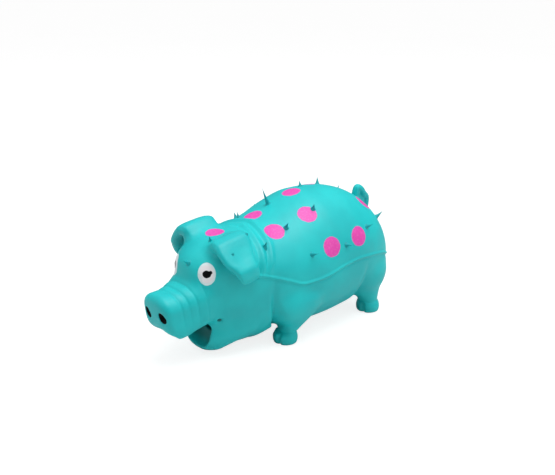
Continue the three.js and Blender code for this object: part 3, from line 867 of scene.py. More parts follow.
@dataclass(frozen=True)
class Tail:
    """A hooked curl that stands on the rump."""

    stations: Rows = (
        (86, 76, 0, 3.8),
        (86.3, 84, 0, 3.4),
        (86.7, 89.5, 0.4, 3.1),
        (87.9, 93.6, 1, 2.9),
        (90.3, 92.4, 1.6, 2.8),
        (93.8, 88.2, 1.9, 2.7),
        (97.6, 84, 1.8, 2.5),
        (98.4, 78.5, 1.3, 2.2),
        (98, 72, 0.8, 1.8),
    )
    fineness: tuple[int, int] = (70, 40)
    cap_steps: int = 8
    blunt: float = 0.02
    fillet: float = 3
    root_depth: float = 3
    web_centre: Triple = (0.9, 92, 81.5)
    web_half: Triple = (1.7, 6.5, 10)
    web_fineness: tuple[int, int] = (50, 50)
    web_fillet: float = 1.5
    block: tuple[Triple, Triple] = ((-16, 70, 56), (18, 112, 104))
    bend: Pair = (0.6, 7)

    def rings(self) -> Array:
        """Return the rings of the curl, with a rounded tip.

        Returns:
            The rings, shaped (rings, points in a ring, 3).
        """
        count, sides = self.fineness
        rows = StationCurve(self.stations)(np.linspace(0, 1, count))
        points = np.stack([rows[:, 2], rows[:, 0], rows[:, 1]], axis=1)
        tip = np.linspace(0, 1, self.cap_steps)[1:] * math.pi / 2
        run = points[-1] - points[-2]
        run /= np.linalg.norm(run)
        cap = points[-1] + run * (np.sin(tip) * rows[-1, 3])[:, None]
        radii = np.concatenate([rows[:, 3], np.maximum(np.cos(tip), self.blunt) * rows[-1, 3]])
        return round_cord(np.concatenate([points, cap]), radii, sides, (1, 0, 0))

    def curl(self, lattice: Lattice) -> Array:
        """Return distances to the curl and to the web inside it."""
        web = lattice.measure(ellipsoid(self.web_centre, self.web_half, self.web_fineness))
        return joined(lattice.measure(self.rings()), web, self.web_fillet)


@dataclass(frozen=True)
class NeckFold:
    """One roll of skin across the neck: where it runs, by the angle above the horizontal."""

    degrees: tuple[float, ...]
    ys: tuple[float, ...]
    height: float
    width: float = 2.0
    middle_height: float = 55
    lowest: float = 45
    fade: Pair = (2, 22)
    hollow_share: float = 0.6
    hollow_gap: float = 1.9
    hollow_width: float = 0.8

    def raised(self, points: Array) -> Array:
        """Return how far the roll lifts the skin at each point.

        Args:
            points: places on the skin, one in a row.

        Returns:
            One move for each place.
        """
        turn = np.degrees(np.arctan2(points[:, 2] - self.middle_height, np.abs(points[:, 0])))
        off = points[:, 1] - np.interp(turn, self.degrees, self.ys)
        hollow = bump(off + self.hollow_gap * self.width, self.hollow_width * self.width)
        roll = self.height * (bump(off, self.width) - self.hollow_share * hollow)
        return roll * smooth(turn, *self.fade) * (points[:, 2] > self.lowest)


@dataclass(frozen=True)
class Crease:
    """A soft valley in the flank, the same on both sides, that fades at both ends."""

    heights: tuple[float, ...]
    ys: tuple[float, ...]
    depths: tuple[float, ...]
    width: float
    keel: Pair = (12, 20)

    def carved(self, lattice: Lattice) -> Array:
        """Return how deep the valley is cut at each point of a lattice.

        Args:
            lattice: the block of points.

        Returns:
            One depth for each point.
        """
        x, y, z = lattice.axes()
        off = y - np.interp(z, self.heights, self.ys)
        depth = np.interp(z, self.heights, self.depths)
        return (depth * smooth(np.abs(x), *self.keel) * bump(off, self.width)).astype(np.float32)


# Paint


@dataclass(frozen=True)
class Spot:
    """A round painted spot at a place along Y and an angle round the trunk."""

    y: float
    degrees: float
    radius: float = 7.0


@dataclass(frozen=True)
class Paint:
    """Where the spots, the eyes, the pupils and the nostrils are painted."""

    spots: tuple[Spot, ...] = (
        Spot(-55, 91, 6.6),
        Spot(-16.8, 96, 6.8),
        Spot(18, 92, 7),
        Spot(8.6, 57.8, 7.2),
        Spot(-20, 60, 7.4),
        Spot(15.9, 19.8, 7.4),
        Spot(43.4, 18.4, 7.4),
        Spot(70.6, 59, 7),
        Spot(-21, 126, 7.2),
        Spot(9, 128, 7.2),
        Spot(17, 160, 7.4),
        Spot(45, 158, 7.4),
        Spot(72, 124, 7),
        Spot(48, 104, 7),
    )
    spot_reach: float = 6
    eye_centres: tuple[Triple, Triple] = ((18, -76.9, 65.4), (-12.4, -80.7, 65.2))
    eye_reach: float = 8
    eye_half: Pair = (6.1, 7.7)
    pupil_half: Pair = (2.9, 2.55)
    nub_place: Pair = (2.5, 1.1)
    nub_radius: float = 1.3

    @staticmethod
    def _flat(points: Array, centre: Array, normal: Array, up: Triple) -> tuple[Array, ...]:
        """Return places across, up and out of the plane that touches the skin at a centre.

        Args:
            points: places on the skin, one in a row.
            centre: where the plane touches the skin.
            normal: the skin's normal there.
            up: a direction that gives the plane its up.

        Returns:
            One value for each place, in each of three arrays.
        """
        up = np.array(up) - normal * (np.array(up) @ normal)
        up /= np.linalg.norm(up)
        off = points - centre
        return off @ np.cross(up, normal), off @ up, off @ normal

    @staticmethod
    def _oval(across: Array, up: Array, half: Pair, scale: float) -> Array:
        """Return how far places lie outside an oval, in the scale of one of its half sizes."""
        return (np.hypot(across / half[0], up / half[1]) - 1) * scale

    def edges(
        self,
        points: Array,
        trunk: Trunk,
        snout: Snout,
        normal_at: Callable[[Array], Array],
    ) -> dict[str, Array]:
        """Return, for each kind of paint, how far each point lies outside it.

        Args:
            points: places on the skin.
            trunk: the barrel that carries the spots.
            snout: the snout, with the nostrils.
            normal_at: gives the skin's normal at a place.

        Returns:
            One distance for each point under each paint's name.
        """
        spots, eyes, pupils = np.full((3, len(points)), FAR_OUT)
        for spot in self.spots:
            centre = trunk.at(spot.y, spot.degrees)
            across, up, out = self._flat(points, centre, normal_at(centre), (0, 1, 0))
            edge = np.hypot(across, up) - spot.radius
            spots = np.minimum(spots, np.where(np.abs(out) < self.spot_reach, edge, FAR_OUT))
        for side, place in zip(Side, self.eye_centres):
            centre = np.array(place)
            across, up, out = self._flat(points, centre, normal_at(centre), (0, 0, 1))
            near = np.abs(out) < self.eye_reach
            across = across * side.value
            oval = self._oval(across, up, self.eye_half, self.eye_half[0])
            dot = self._oval(across, up, self.pupil_half, self.pupil_half[1])
            nub = np.hypot(across - self.nub_place[0], up - self.nub_place[1]) - self.nub_radius
            eyes = np.minimum(eyes, np.where(near, oval, FAR_OUT))
            pupils = np.minimum(pupils, np.where(near, np.minimum(dot, nub), FAR_OUT))
        nostrils = np.minimum(*(snout.nostril_distance(points, side) for side in Side))
        return {"spot_mm": spots, "eye_mm": eyes, "pupil_mm": pupils, "nostril_mm": nostrils}


# Meshes


def add_object(name: str, data: bpy.types.ID) -> Object:
    """Put new data in the scene as an object.

    Args:
        name: the object's name.
        data: its mesh, light or camera.

    Returns:
        The object.
    """
    thing = bpy.data.objects.new(name, data)
    bpy.context.scene.collection.objects.link(thing)
    return thing


def build_piece(
    name: str,
    points: Array,
    faces: Array,
    normals: Array | None = None,
    paint: dict[str, Array] | None = None,
) -> Object:
    """Make an object of a surface.

    Args:
        name: the piece's name.
        points: places in millimetres.
        faces: point numbers of each face.
        normals: the surface's own normal at each point.
        paint: distances to the edges of the paint, kept on the points.

    Returns:
        The new object, in the scene.
    """
    mesh = bpy.data.meshes.new(name)
    mesh.from_pydata((points * MM).tolist(), [], faces.tolist())
    mesh.validate()
    mesh.polygons.foreach_set("use_smooth", np.ones(len(mesh.polygons), bool))
    for label, values in (paint or {}).items():
        mesh.attributes.new(label, "FLOAT", "POINT").data.foreach_set("value", values.astype(np.float32))
    if normals is not None:
        mesh.normals_split_custom_set_from_vertices(normals.tolist())
    return add_object(name, mesh)


def kept_faces(points: Array, faces: Array, keep: Array) -> tuple[Array, ...]:
    """Return the points, the faces and the old numbers of the points of the faces that are kept.

    Args:
        points: the places.
        faces: the point numbers of each face.
        keep: which faces are kept.

    Returns:
        The points, the faces and the old numbers.
    """
    faces = faces[keep]
    used, numbers = np.unique(faces, return_inverse=True)
    return points[used], numbers.reshape(faces.shape), used


# Shader graphs


@dataclass
class Graph:
    """A node tree with short ways to add and join nodes."""

    tree: NodeTree

    def node(self, kind: str, label: str = "", **settings: object) -> Node:
        """Add a node and set its properties.

        Args:
            kind: the node's type.
            label: its label.
            settings: its properties by name.

        Returns:
            The node.
        """
        node = self.tree.nodes.new(kind)
        node.label = label
        for key, value in settings.items():
            setattr(node, key, value)
        return node

    def feed(self, target: NodeSocket, source: object) -> None:
        """Join a socket to a target, or set the target's own value.

        Args:
            target: an input socket.
            source: an output socket or a value.
        """
        if isinstance(source, NodeSocket):
            self.tree.links.new(source, target)
        else:
            target.default_value = source

    def math(self, operation: str, first: object, second: object = 0.0) -> NodeSocket:
        """Return the result of a sum on two values.

        Args:
            operation: the sum's name.
            first: a socket or a number.
            second: another.

        Returns:
            The result.
        """
        node = self.node("ShaderNodeMath", operation=operation)
        self.feed(node.inputs[0], first)
        self.feed(node.inputs[1], second)
        return node.outputs[0]

    def run(
        self, value: object, start: float, end: float, low: float = 0.0, high: float = 1.0
    ) -> NodeSocket:
        """Return a smooth run from low to high while the value goes from start to end.

        Args:
            value: a socket or a number.
            start: the value at which the run starts.
            end: the value at which it ends.
            low: the result at the start.
            high: the result at the end.

        Returns:
            The result.
        """
        node = self.node("ShaderNodeMapRange", interpolation_type="SMOOTHSTEP")
        for socket, source in zip(node.inputs[:5], (value, start, end, low, high)):
            self.feed(socket, source)
        return node.outputs[0]

    def mix(self, share: object, first: object, second: object) -> NodeSocket:
        """Return a colour between two colours.

        Args:
            share: the second colour's share.
            first: a socket or a colour.
            second: another.

        Returns:
            The colour.
        """
        node = self.node("ShaderNodeMix", data_type="RGBA")
        self.feed(node.inputs["Factor"], share)
        self.feed(node.inputs[6], first)
        self.feed(node.inputs[7], second)
        return node.outputs[2]

    def noise(self, place: object, scale: object, detail: float = 2.0) -> NodeSocket:
        """Return a cloudy value round a half.

        Args:
            place: where the value is read.
            scale: how fine it is.
            detail: how many layers it has.

        Returns:
            The value.
        """
        node = self.node("ShaderNodeTexNoise")
        self.feed(node.inputs["Vector"], place)
        self.feed(node.inputs["Scale"], scale)
        node.inputs["Detail"].default_value = detail
        return node.outputs[0]

    def place(self) -> NodeSocket:
        """Return the place on the object, in metres."""
        return self.node("ShaderNodeTexCoord").outputs["Object"]

    def attribute(self, name: str) -> NodeSocket:
        """Return a value that the mesh holds on its points."""
        return self.node("ShaderNodeAttribute", attribute_name=name).outputs["Fac"]


def colour(code: int) -> tuple[float, float, float, float]:
    """Return the scene colour of a written screen colour."""
    parts = [((code >> shift) & 255) / 255 for shift in (16, 8, 0)]
    return (*(p / 12.92 if p <= 0.04045 else ((p + 0.055) / 1.055) ** 2.4 for p in parts), 1.0)


def start_group(name: str, inputs: dict[str, float], outputs: Sequence[str]) -> tuple[Graph, ...]:
    """Start a shared node group with named sockets.

    Args:
        name: the group's name.
        inputs: each input and its usual value.
        outputs: the outputs' names.

    Returns:
        The group's graph, its input node and its output node.
    """
    tree = bpy.data.node_groups.new(name, "ShaderNodeTree")
    for label, usual in inputs.items():
        socket = tree.interface.new_socket(label, in_out="INPUT", socket_type="NodeSocketFloat")
        socket.default_value = usual
    for label in outputs:
        tree.interface.new_socket(label, in_out="OUTPUT", socket_type="NodeSocketFloat")
    graph = Graph(tree)
    return graph, graph.node("NodeGroupInput"), graph.node("NodeGroupOutput")


def painted_edge_group() -> NodeTree:
    """Build the group that turns a distance to a paint's edge into a sprayed mask.

    Returns:
        The group.
    """
    graph, given, put = start_group(
        "Painted edge", {"Distance": 1.0, "Softness": 0.3, "Wobble": 0.5, "Scale": 400.0}, ["Mask"]
    )
    cloud = graph.noise(graph.place(), given.outputs["Scale"])
    sway = graph.math("MULTIPLY", graph.math("SUBTRACT", cloud, 0.5), given.outputs["Wobble"])
    distance = graph.math("ADD", given.outputs["Distance"], sway)
    edge = graph.math("DIVIDE", distance, given.outputs["Softness"])
    graph.feed(put.inputs["Mask"], graph.run(edge, 1.0, -1.0))
    return graph.tree


def moulded_grain_group() -> NodeTree:
    """Build the group of soft mottling, fine pitting and dust that a moulded surface has.

    Returns:
        The group.
    """
    graph, given, put = start_group(
        "Moulded grain",
        {"Mottle Scale": 45.0, "Pit Scale": 900.0, "Dust": 0.5},
        ["Tone", "Specks", "Height"],
    )
    place = graph.place()
    broad = graph.noise(place, given.outputs["Mottle Scale"], 3.0)
    fine = graph.noise(place, given.outputs["Pit Scale"], 3.0)
    ripple = graph.noise(place, graph.math("MULTIPLY", given.outputs["Mottle Scale"], 4.0), 2.0)
    grit = graph.noise(place, graph.math("MULTIPLY", given.outputs["Pit Scale"], 0.7), 1.0)
    specks = graph.math("MULTIPLY", graph.run(grit, 0.70, 0.78), given.outputs["Dust"])
    graph.feed(put.inputs["Tone"], graph.run(broad, 0.3, 0.7))
    graph.feed(put.inputs["Specks"], specks)
    height = graph.math("ADD", graph.math("MULTIPLY", fine, 0.35), graph.math("MULTIPLY", ripple, 0.9))
    graph.feed(put.inputs["Height"], height)
    return graph.tree


@dataclass
class Groups:
    """The shared node groups."""

    edge: NodeTree = field(default_factory=painted_edge_group)
    grain: NodeTree = field(default_factory=moulded_grain_group)

    @staticmethod
    def _place_in(graph: Graph, tree: NodeTree, values: Sequence[object]) -> dict[str, NodeSocket]:
        """Put a group in a material with its own values.

        Args:
            graph: the material's graph.
            tree: the group.
            values: one for each of its inputs.

        Returns:
            The group's outputs by name.
        """
        node = graph.node("ShaderNodeGroup", tree.name)
        node.node_tree = tree
        for socket, value in zip(node.inputs, values, strict=True):
            graph.feed(socket, value)
        return {socket.name: socket for socket in node.outputs}

    def add_edge(self, graph: Graph, *values: object) -> NodeSocket:
        """Return a paint's mask from a distance, a softness, a wobble and a scale."""
        return self._place_in(graph, self.edge, values)["Mask"]

    def add_grain(self, graph: Graph, *values: float) -> dict[str, NodeSocket]:
        """Return the grain's outputs by name from a mottle scale, a pit scale and a share of dust."""
        return self._place_in(graph, self.grain, values)


def start_material(name: str) -> tuple[Graph, Node, Material]:
    """Start a material and return its graph, its Principled shader and itself.

    Args:
        name: the material's name.

    Returns:
        The graph, the shader and the material.
    """
    material = bpy.data.materials.new(name)
    material.use_nodes = True
    graph = Graph(material.node_tree)
    return graph, material.node_tree.nodes["Principled BSDF"], material


def add_bump(graph: Graph, shader: Node, height: NodeSocket, depth: float, strength: float) -> None:
    """Feed a height to a shader's normal.

    Args:
        graph: the material's graph.
        shader: its Principled shader.
        height: the height.
        depth: how deep the relief is, in metres.
        strength: how much of it shows.
    """
    relief = graph.node("ShaderNodeBump")
    relief.inputs["Distance"].default_value = depth
    relief.inputs["Strength"].default_value = strength
    graph.feed(relief.inputs["Height"], height)
    graph.feed(shader.inputs["Normal"], relief.outputs["Normal"])


@dataclass(frozen=True)
class PaintEdge:
    """The sprayed edge of one kind of paint."""

    attribute: str
    softness: float
    wobble: float
    scale: float
    inset: float = 0.0

    def mask(self, graph: Graph, groups: Groups) -> NodeSocket:
        """Return where the paint is, from 0 to 1.

        Args:
            graph: the material's graph.
            groups: the shared node groups.

        Returns:
            The mask.
        """
        distance = graph.math("ADD", graph.attribute(self.attribute), self.inset)
        return groups.add_edge(graph, distance, self.softness, self.wobble, self.scale)


@dataclass(frozen=True)
class LatexFinish:
    """Satin moulded latex with hand-sprayed paint, and painted shade in its mouth and other recesses."""

    name: str = "painted_latex"
    light: int = 0x10C8CA
    deep: int = 0x07BBBF
    dust: int = 0x9FE3E0
    spot: int = 0xE645B0
    spot_worn: int = 0xF072C2
    eye: int = 0xF2F0F3
    eye_rim: int = 0xE2F3F6
    black: int = 0x060607
    # painted shade: the colour the latex is darkened towards in the mouth, the dimples and the creases
    hollow: int = 0x045652
    roughness: float = 0.46
    gloss: float = 0.42
    black_gloss: float = 0.08
    spot_edge: PaintEdge = PaintEdge("spot_mm", 0.4, 1.1, 330.0)
    eye_edge: PaintEdge = PaintEdge("eye_mm", 0.2, 0.5, 300.0)
    white_edge: PaintEdge = PaintEdge("eye_mm", 0.5, 0.6, 300.0, 1.1)
    pupil_edge: PaintEdge = PaintEdge("pupil_mm", 0.15, 0.5, 500.0)
    nostril_edge: PaintEdge = PaintEdge("nostril_mm", 0.2, 0.4, 500.0)
    mottle_scale: float = 38.0
    pit_scale: float = 1100.0
    dust_share: float = 0.04
    # painted shade: the depths below the uncut skin over which the darkening runs in, and its largest
    # share
    painted_shade_depths: Pair = (-1.5, -8.0)
    hollow_share: float = 0.75
    worn_share: float = 0.6
    rough_spread: float = 0.06
    paint_height: float = 0.5
    relief: float = 0.00012

    def _tone(
        self, graph: Graph, grain: dict[str, NodeSocket], masks: Sequence[NodeSocket]
    ) -> NodeSocket:
        """Lay painted shade into the recesses of the latex, then lay the paint over it.

        Args:
            graph: the material's graph.
            grain: the outputs of the moulded grain.
            masks: where the spots, the eyes, their whites and the black paint are.

        Returns:
            The colour.
        """
        spot, eye, white, black = masks
        latex = graph.mix(grain["Tone"], colour(self.deep), colour(self.light))
        latex = graph.mix(grain["Specks"], latex, colour(self.dust))
        worn = graph.run(graph.noise(graph.place(), 700.0, 4.0), 0.45, 0.75, 0.0, self.worn_share)
        pink = graph.mix(worn, colour(self.spot), colour(self.spot_worn))
        # painted shade: the latex grows darker the deeper it lies below the uncut skin, in the mouth,
        # dimples and creases
        hollow = graph.run(graph.attribute("depth_mm"), *self.painted_shade_depths, 0.0, self.hollow_share)
        latex = graph.mix(hollow, latex, colour(self.hollow))
        tone = graph.mix(spot, latex, pink)
        tone = graph.mix(eye, tone, graph.mix(white, colour(self.eye_rim), colour(self.eye)))
        return graph.mix(black, tone, colour(self.black))

    def build(self, groups: Groups) -> Material:
        """Build the material.

        Args:
            groups: the shared node groups.

        Returns:
            The material.
        """
        graph, shader, material = start_material(self.name)
        grain = groups.add_grain(graph, self.mottle_scale, self.pit_scale, self.dust_share)
        edges = (self.spot_edge, self.eye_edge, self.white_edge, self.pupil_edge, self.nostril_edge)
        spot, eye, white, pupil, nostril = (edge.mask(graph, groups) for edge in edges)
        black = graph.math("MAXIMUM", pupil, nostril)
        graph.feed(shader.inputs["Base Color"], self._tone(graph, grain, (spot, eye, white, black)))
        painted = graph.math("MAXIMUM", graph.math("MAXIMUM", spot, eye), black)
        rough = graph.math("MULTIPLY", grain["Tone"], self.rough_spread)
        rough = graph.math("ADD", rough, self.roughness)
        rough = graph.math("SUBTRACT", rough, graph.math("MULTIPLY", painted, self.rough_spread))
        graph.feed(shader.inputs["Roughness"], rough)
        gloss = graph.run(black, 0.0, 1.0, self.gloss, self.black_gloss)
        graph.feed(shader.inputs["Specular IOR Level"], gloss)
        height = graph.math("ADD", grain["Height"], graph.math("MULTIPLY", painted, self.paint_height))
        add_bump(graph, shader, height, self.relief, 0.5)
        return material


@dataclass(frozen=True)
class PlainFinish:
    """One unpainted stuff: loose fibre, moulded plastic or rolled metal."""

    name: str
    shaded: int
    bright: int
    roughness: Pair
    pit_scale: float
    mottle_scale: float = 220.0
    dust_share: float = 0.4
    metallic: float = 0.0
    sheen: float = 0.0
    relief: float = 0.00008
    relief_share: float = 0.4

    def build(self, groups: Groups) -> Material:
        """Build the material.

        Args:
            groups: the shared node groups.

        Returns:
            The material.
        """
        graph, shader, material = start_material(self.name)
        grain = groups.add_grain(graph, self.mottle_scale, self.pit_scale, self.dust_share)
        tone = graph.mix(grain["Tone"], colour(self.shaded), colour(self.bright))
        graph.feed(shader.inputs["Base Color"], tone)
        graph.feed(shader.inputs["Roughness"], graph.run(grain["Tone"], 0.0, 1.0, *self.roughness))
        shader.inputs["Metallic"].default_value = self.metallic
        shader.inputs["Sheen Weight"].default_value = self.sheen
        add_bump(graph, shader, grain["Height"], self.relief, self.relief_share)
        return material


# The toy


@dataclass(frozen=True)
class HornForm:
    """A little moulded horn that flares into the skin."""

    steps: int = 16
    sides: int = 20
    crowding: float = 1.3
    sunk: float = 0.4
    lean: float = 0.12
    slim: float = 0.85
    growth: float = 0.14
    widest: float = 1.7
    taper: float = 1.25
    flare_share: float = 0.47
    flare_height: float = 0.7
    tip_radius: float = 0.05
    seed: int = 7

    def _tube(self, foot: Array, normal: Array, height: float, tilt: Array) -> tuple[Array, ...]:
        """Return the points and the triangles of one horn.

        Args:
            foot: its place on the skin.
            normal: the skin's normal there.
            height: its height.
            tilt: the way its tip leans.

        Returns:
            The points and the triangles.
        """
        rise = np.linspace(0, 1, self.steps) ** self.crowding
        points = foot + normal * (rise[:, None] * (height + self.sunk) - self.sunk)
        points = points + tilt * self.lean * (rise[:, None] ** 2) * height
        wide = min(self.widest, self.slim + self.growth * height)
        flare = self.flare_share * np.exp(-rise * height / self.flare_height)
        radii = wide * ((1 - rise) ** self.taper + flare)
        radii[-1] = self.tip_radius
        up = (0, 1, 0) if abs(normal[1]) < 0.7 else (1, 0, 0)
        return closed_tube(round_cord(points, radii, self.sides, up))

    def build(self, name: str, feet: Sequence[tuple], latex: Material) -> Object:
        """Build horns as one piece.

        Args:
            name: the piece's name.
            feet: each horn's place on the skin, the skin's normal there and the horn's height.
            latex: the horns' material.

        Returns:
            The piece.
        """
        all_points, all_faces = [], []
        total = 0
        generator = np.random.default_rng(self.seed)
        for foot, normal, height in feet:
            tilt = np.cross(normal, generator.normal(size=3))
            points, faces = self._tube(foot, normal, height, tilt)
            all_points.append(points)
            all_faces.append(faces[:, ::-1] + total)
            total += len(points)
        # no paint and no painted shade on the horns: every distance lies far outside
        names = ("spot_mm", "eye_mm", "pupil_mm", "nostril_mm", "depth_mm")
        paint = {label: np.full(total, FAR_OUT) for label in names}
        piece = build_piece(name, np.concatenate(all_points), np.concatenate(all_faces), None, paint)
        piece.data.materials.append(latex)
        return piece


@dataclass
class Skin:
    """The latex skin: head, snout, jaw, body, legs, ears, tail and spikes."""

    trunk: Trunk = field(default_factory=Trunk)
    snout: Snout = field(default_factory=Snout)
    jaw: Jaw = field(default_factory=Jaw)
    tail: Tail = field(default_factory=Tail)
    paint: Paint = field(default_factory=Paint)
    ears: tuple[Ear, ...] = (Ear(Side.LEFT, 0, 0.15, 0), Ear(Side.RIGHT, 1.5, 0.12, 3.2))
    legs: tuple[Leg, ...] = tuple(
        Leg(side.value * x, *rest) for x, *rest in ((27, -14, 6, 11), (27.5, 75, 0, -4)) for side in Side
    )
    haunches: tuple[Haunch, ...] = tuple(
        Haunch((side.value * x, y, z), half)
        for x, y, z, half in ((30, -12, 32, (16, 20, 16)), (28, 71, 35.5, (15, 16, 16)))
        for side in Side
    )
    folds: tuple[NeckFold, ...] = (
        NeckFold((12, 25, 40, 90), (-38, -34, -30, -23), 1.05),
        NeckFold((12, 34, 90), (-43, -39, -31), 0.95),
    )
    creases: tuple[Crease, ...] = (
        Crease(
            heights=(6, 10, 14, 20, 34, 44, 58),
            ys=(-19.8, -19.8, -21.5, -27, -32, -33.5, -34),
            depths=(0, 3, 4.2, 4.5, 2.6, 1.6, 0),
            width=2.5,
        ),
        Crease(
            heights=(6, 14, 24, 34, 52),
            ys=(56, 56, 55.5, 55, 54),
            depths=(0, 2, 2.4, 1.8, 0),
            width=3.4,
        ),
    )
    spikes: Rows = (
        (-82, 66, 5.5), (-65, 74.5, 5.5), (-42, 116, 4.5), (-35.5, 42, 5.5), (-21, 116, 4.5),
        (-22.5, 109, 4.5), (-11, 57.5, 7), (-1.5, 96.5, 13.5), (-2, 22, 5.5), (15, 59, 5.5),
        (29.5, 15, 5.5), (31.5, 97, 4.5), (48, 95, 5.5), (55, 26, 5.5), (76, 104, 6),
        (80, 44, 6.5), (-31, 160, 5.5), (-10, 152, 6), (2, 168, 5.5), (18, 146, 6),
        (33, 164, 5.5), (52, 150, 6), (62, 140, 5.5), (84, 138, 6), (97, 92, 5.5),
    )
    spike_growth: float = 1.1
    horns: HornForm = HornForm()
    block: tuple[Triple, Triple] = ((-52, -112, -3), (52, 112, 112))
    pitch: float = 0.7
    fine_pitch: float = 0.6
    snout_fillet: float = 5
    jaw_fillet: float = 8
    haunch_fillet: float = 5
    leg_fillet: float = 5
    mouth_fillet: float = 3.0
    throat_fillet: float = 1.0
    dimple: Triple = (19.2, -68, 30.2)
    dimple_depth: float = 2.2
    dimple_radius: float = 1.6
    dimple_reach: float = 6
    # painted shade: how wide, and how steeply, each dimple is darkened
    dimple_painted_shade_radius: float = 2.0
    dimple_painted_shade_slope: float = 12
    sink: float = 0.03
    neck_y: float = -36
    squeeze_from: Pair = (-40, 88)
    squeeze_rise: Pair = (0.343, 0.939)
    squeeze_depth: float = 28
    lattice: Lattice = field(init=False)
    plain: Array = field(init=False)
    uncut: Array = field(init=False)
    values: Array = field(init=False)

    def __post_init__(self) -> None:
        """Measure the barrel and the whole skin once."""
        self.lattice = Lattice(*self.block, self.pitch)
        self.plain = self.lattice.measure(self.trunk.rings())
        self.uncut = self._whole()
        mouth = self.lattice.measure(self.jaw.mouth_rings())
        mouth = joined(mouth, self.jaw.throat(self.lattice), self.throat_fillet)
        self.values = cut(self.uncut, mouth, self.mouth_fillet)

    def _whole(self) -> Array:
        """Return distances to the skin without its mouth, ears, tail and spikes.

        Returns:
            One distance for each point of the lattice.
        """
        lattice = self.lattice
        values = joined(self.plain, lattice.measure(self.snout.rings()), self.snout_fillet)
        values = joined(values, lattice.measure(self.jaw.rings()), self.jaw_fillet)
        for haunch in self.haunches:
            values = joined(values, lattice.measure(haunch.rings()), self.haunch_fillet)
        for leg in self.legs:
            values = joined(values, lattice.measure(leg.rings()), self.leg_fillet)
        for crease in self.creases:
            values = values + crease.carved(lattice)
        return values

    def _lift(self, points: Array) -> Array:
        """Return how far the bead, the folds, the dimples and the nostrils move the skin.

        Args:
            points: places on the skin, one in a row.

        Returns:
            One move for each place, along the normal.
        """
        lift = self.trunk.beaded(points)
        for fold in self.folds:
            lift += fold.raised(points)
        for leg in self.legs:
            lift -= leg.grooved(points)
        snout = points[:, 1] < self.snout.root_y
        lift[snout] += self.snout.wrinkled(points[snout])
        for side in Side:
            lift -= self.dimple_depth * bump(self._dimple_off(points, side), self.dimple_radius)
            inside = -self.snout.nostril_distance(points, side)
            lift -= self.snout.nostril_depth * smooth(inside, *self.snout.nostril_slope)
        return lift

    def _normal_at(self, place: Array) -> Array:
        """Return the normal of the whole skin near a place."""
        slope = self.lattice.slope(self.values, place[None])[0]
        return slope / np.linalg.norm(slope)

    def _on_skin(self, place: Array) -> Array:
        """Return the place on the skin nearest to a place close to it.

        Args:
            place: the place.

        Returns:
            The place on the skin.
        """
        for _ in range(3):
            place = place - self._normal_at(place) * self.lattice.sample(self.values, place[None])[0]
        return place

    def _dimple_off(self, points: Array, side: Side) -> Array:
        """Return how far points lie from the dimple at a corner of the mouth, along the skin.

        Args:
            points: places on the skin, one in a row.
            side: which corner it is.

        Returns:
            One distance for each place.
        """
        centre = self._on_skin(np.array(self.dimple) * (side.value, 1, 1))
        normal = self._normal_at(centre)
        out = (points - centre) @ normal
        off = np.linalg.norm(points - centre - out[:, None] * normal, axis=1)
        return np.where(np.abs(out) < self.dimple_reach, off, FAR_OUT)

    def _dress(self, name: str, points: Array, faces: Array, normals: Array) -> Object:
        """Make a piece of a part of the skin, with its paint and its painted shade.

        Args:
            name: the piece's name.
            points: places in millimetres.
            faces: point numbers of each face.
            normals: the surface's own normal at each point.

        Returns:
            The piece.
        """
        edges = self.paint.edges(points, self.trunk, self.snout, self._normal_at)
        # painted shade: depth below the uncut skin, made deeper round each dimple, darkens the latex
        # there
        edges["depth_mm"] = self.lattice.sample(self.uncut, points)
        for side in Side:
            outside = self._dimple_off(points, side) - self.dimple_painted_shade_radius
            edges["depth_mm"] = np.minimum(edges["depth_mm"], self.dimple_painted_shade_slope * outside)
        return build_piece(name, points, faces, normals, edges)

    def squeeze_line(self) -> tuple[Vector, Vector]:
        """Return the start and the end of the line along which the back would be pressed.

        Returns:
            The two places, in metres.
        """
        y, z = self.squeeze_from
        start = Vector((0, y, z)) * MM
        return start, start + Vector((0, *self.squeeze_rise)) * self.squeeze_depth * MM

    def build_body(self, latex: Material) -> list[Object]:
        """Build the head and the body with its legs, which meet at the neck without a seam.

        Args:
            latex: the skin's material.

        Returns:
            The two pieces.
        """
        points, quads = self.lattice.skin(self.values)
        normals = vertex_normals(points, quads)
        points = points + normals * self._lift(points)[:, None]
        normals = vertex_normals(points, quads)
        ahead = points[quads, 1].mean(axis=1) < self.neck_y
        pieces = []
        for name, keep in (("skin_head", ahead), ("skin_body", ~ahead)):
            part, faces, used = kept_faces(points, quads, keep)
            piece = self._dress(name, part, faces, normals[used])
            piece.data.materials.append(latex)
            pieces.append(piece)
        head, body = pieces
        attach(head, "body")
        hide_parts("head_skin", "snout_skin", "lower_jaw")
        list(self.squeeze_line())
        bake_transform(body)
        legs = [f"leg_{end}_{side}" for end in ("front", "rear") for side in ("left", "right")]
        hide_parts("back_skin", "belly_skin", *legs)
        return pieces

    def _grown(
        self,
        name: str,
        lattice: Lattice,
        plain: Array,
        part: Array,
        fillet: Array | float,
        depth: float,
    ) -> Object:
        """Make a closed piece of what stands out of the plain skin, with its root sunk in it.

        Args:
            name: the piece's name.
            lattice: the block of points that holds it.
            plain: distances to the plain skin.
            part: distances to the part that grows out of it.
            fillet: the fillet between the two.
            depth: how deep the root is sunk.

        Returns:
            The piece.
        """
        values = joined(plain, part, fillet) + self.sink
        values = np.maximum(values, -(plain + depth))
        values = np.maximum(values, part - fillet)
        points, quads = lattice.skin(values.astype(np.float32))
        return self._dress(name, points, quads, vertex_normals(points, quads))

    def _plain_in(self, lattice: Lattice) -> Array:
        """Return distances to the plain barrel at the points of a finer block."""
        return self.lattice.sample(self.plain, lattice.points()).reshape(lattice.shape)

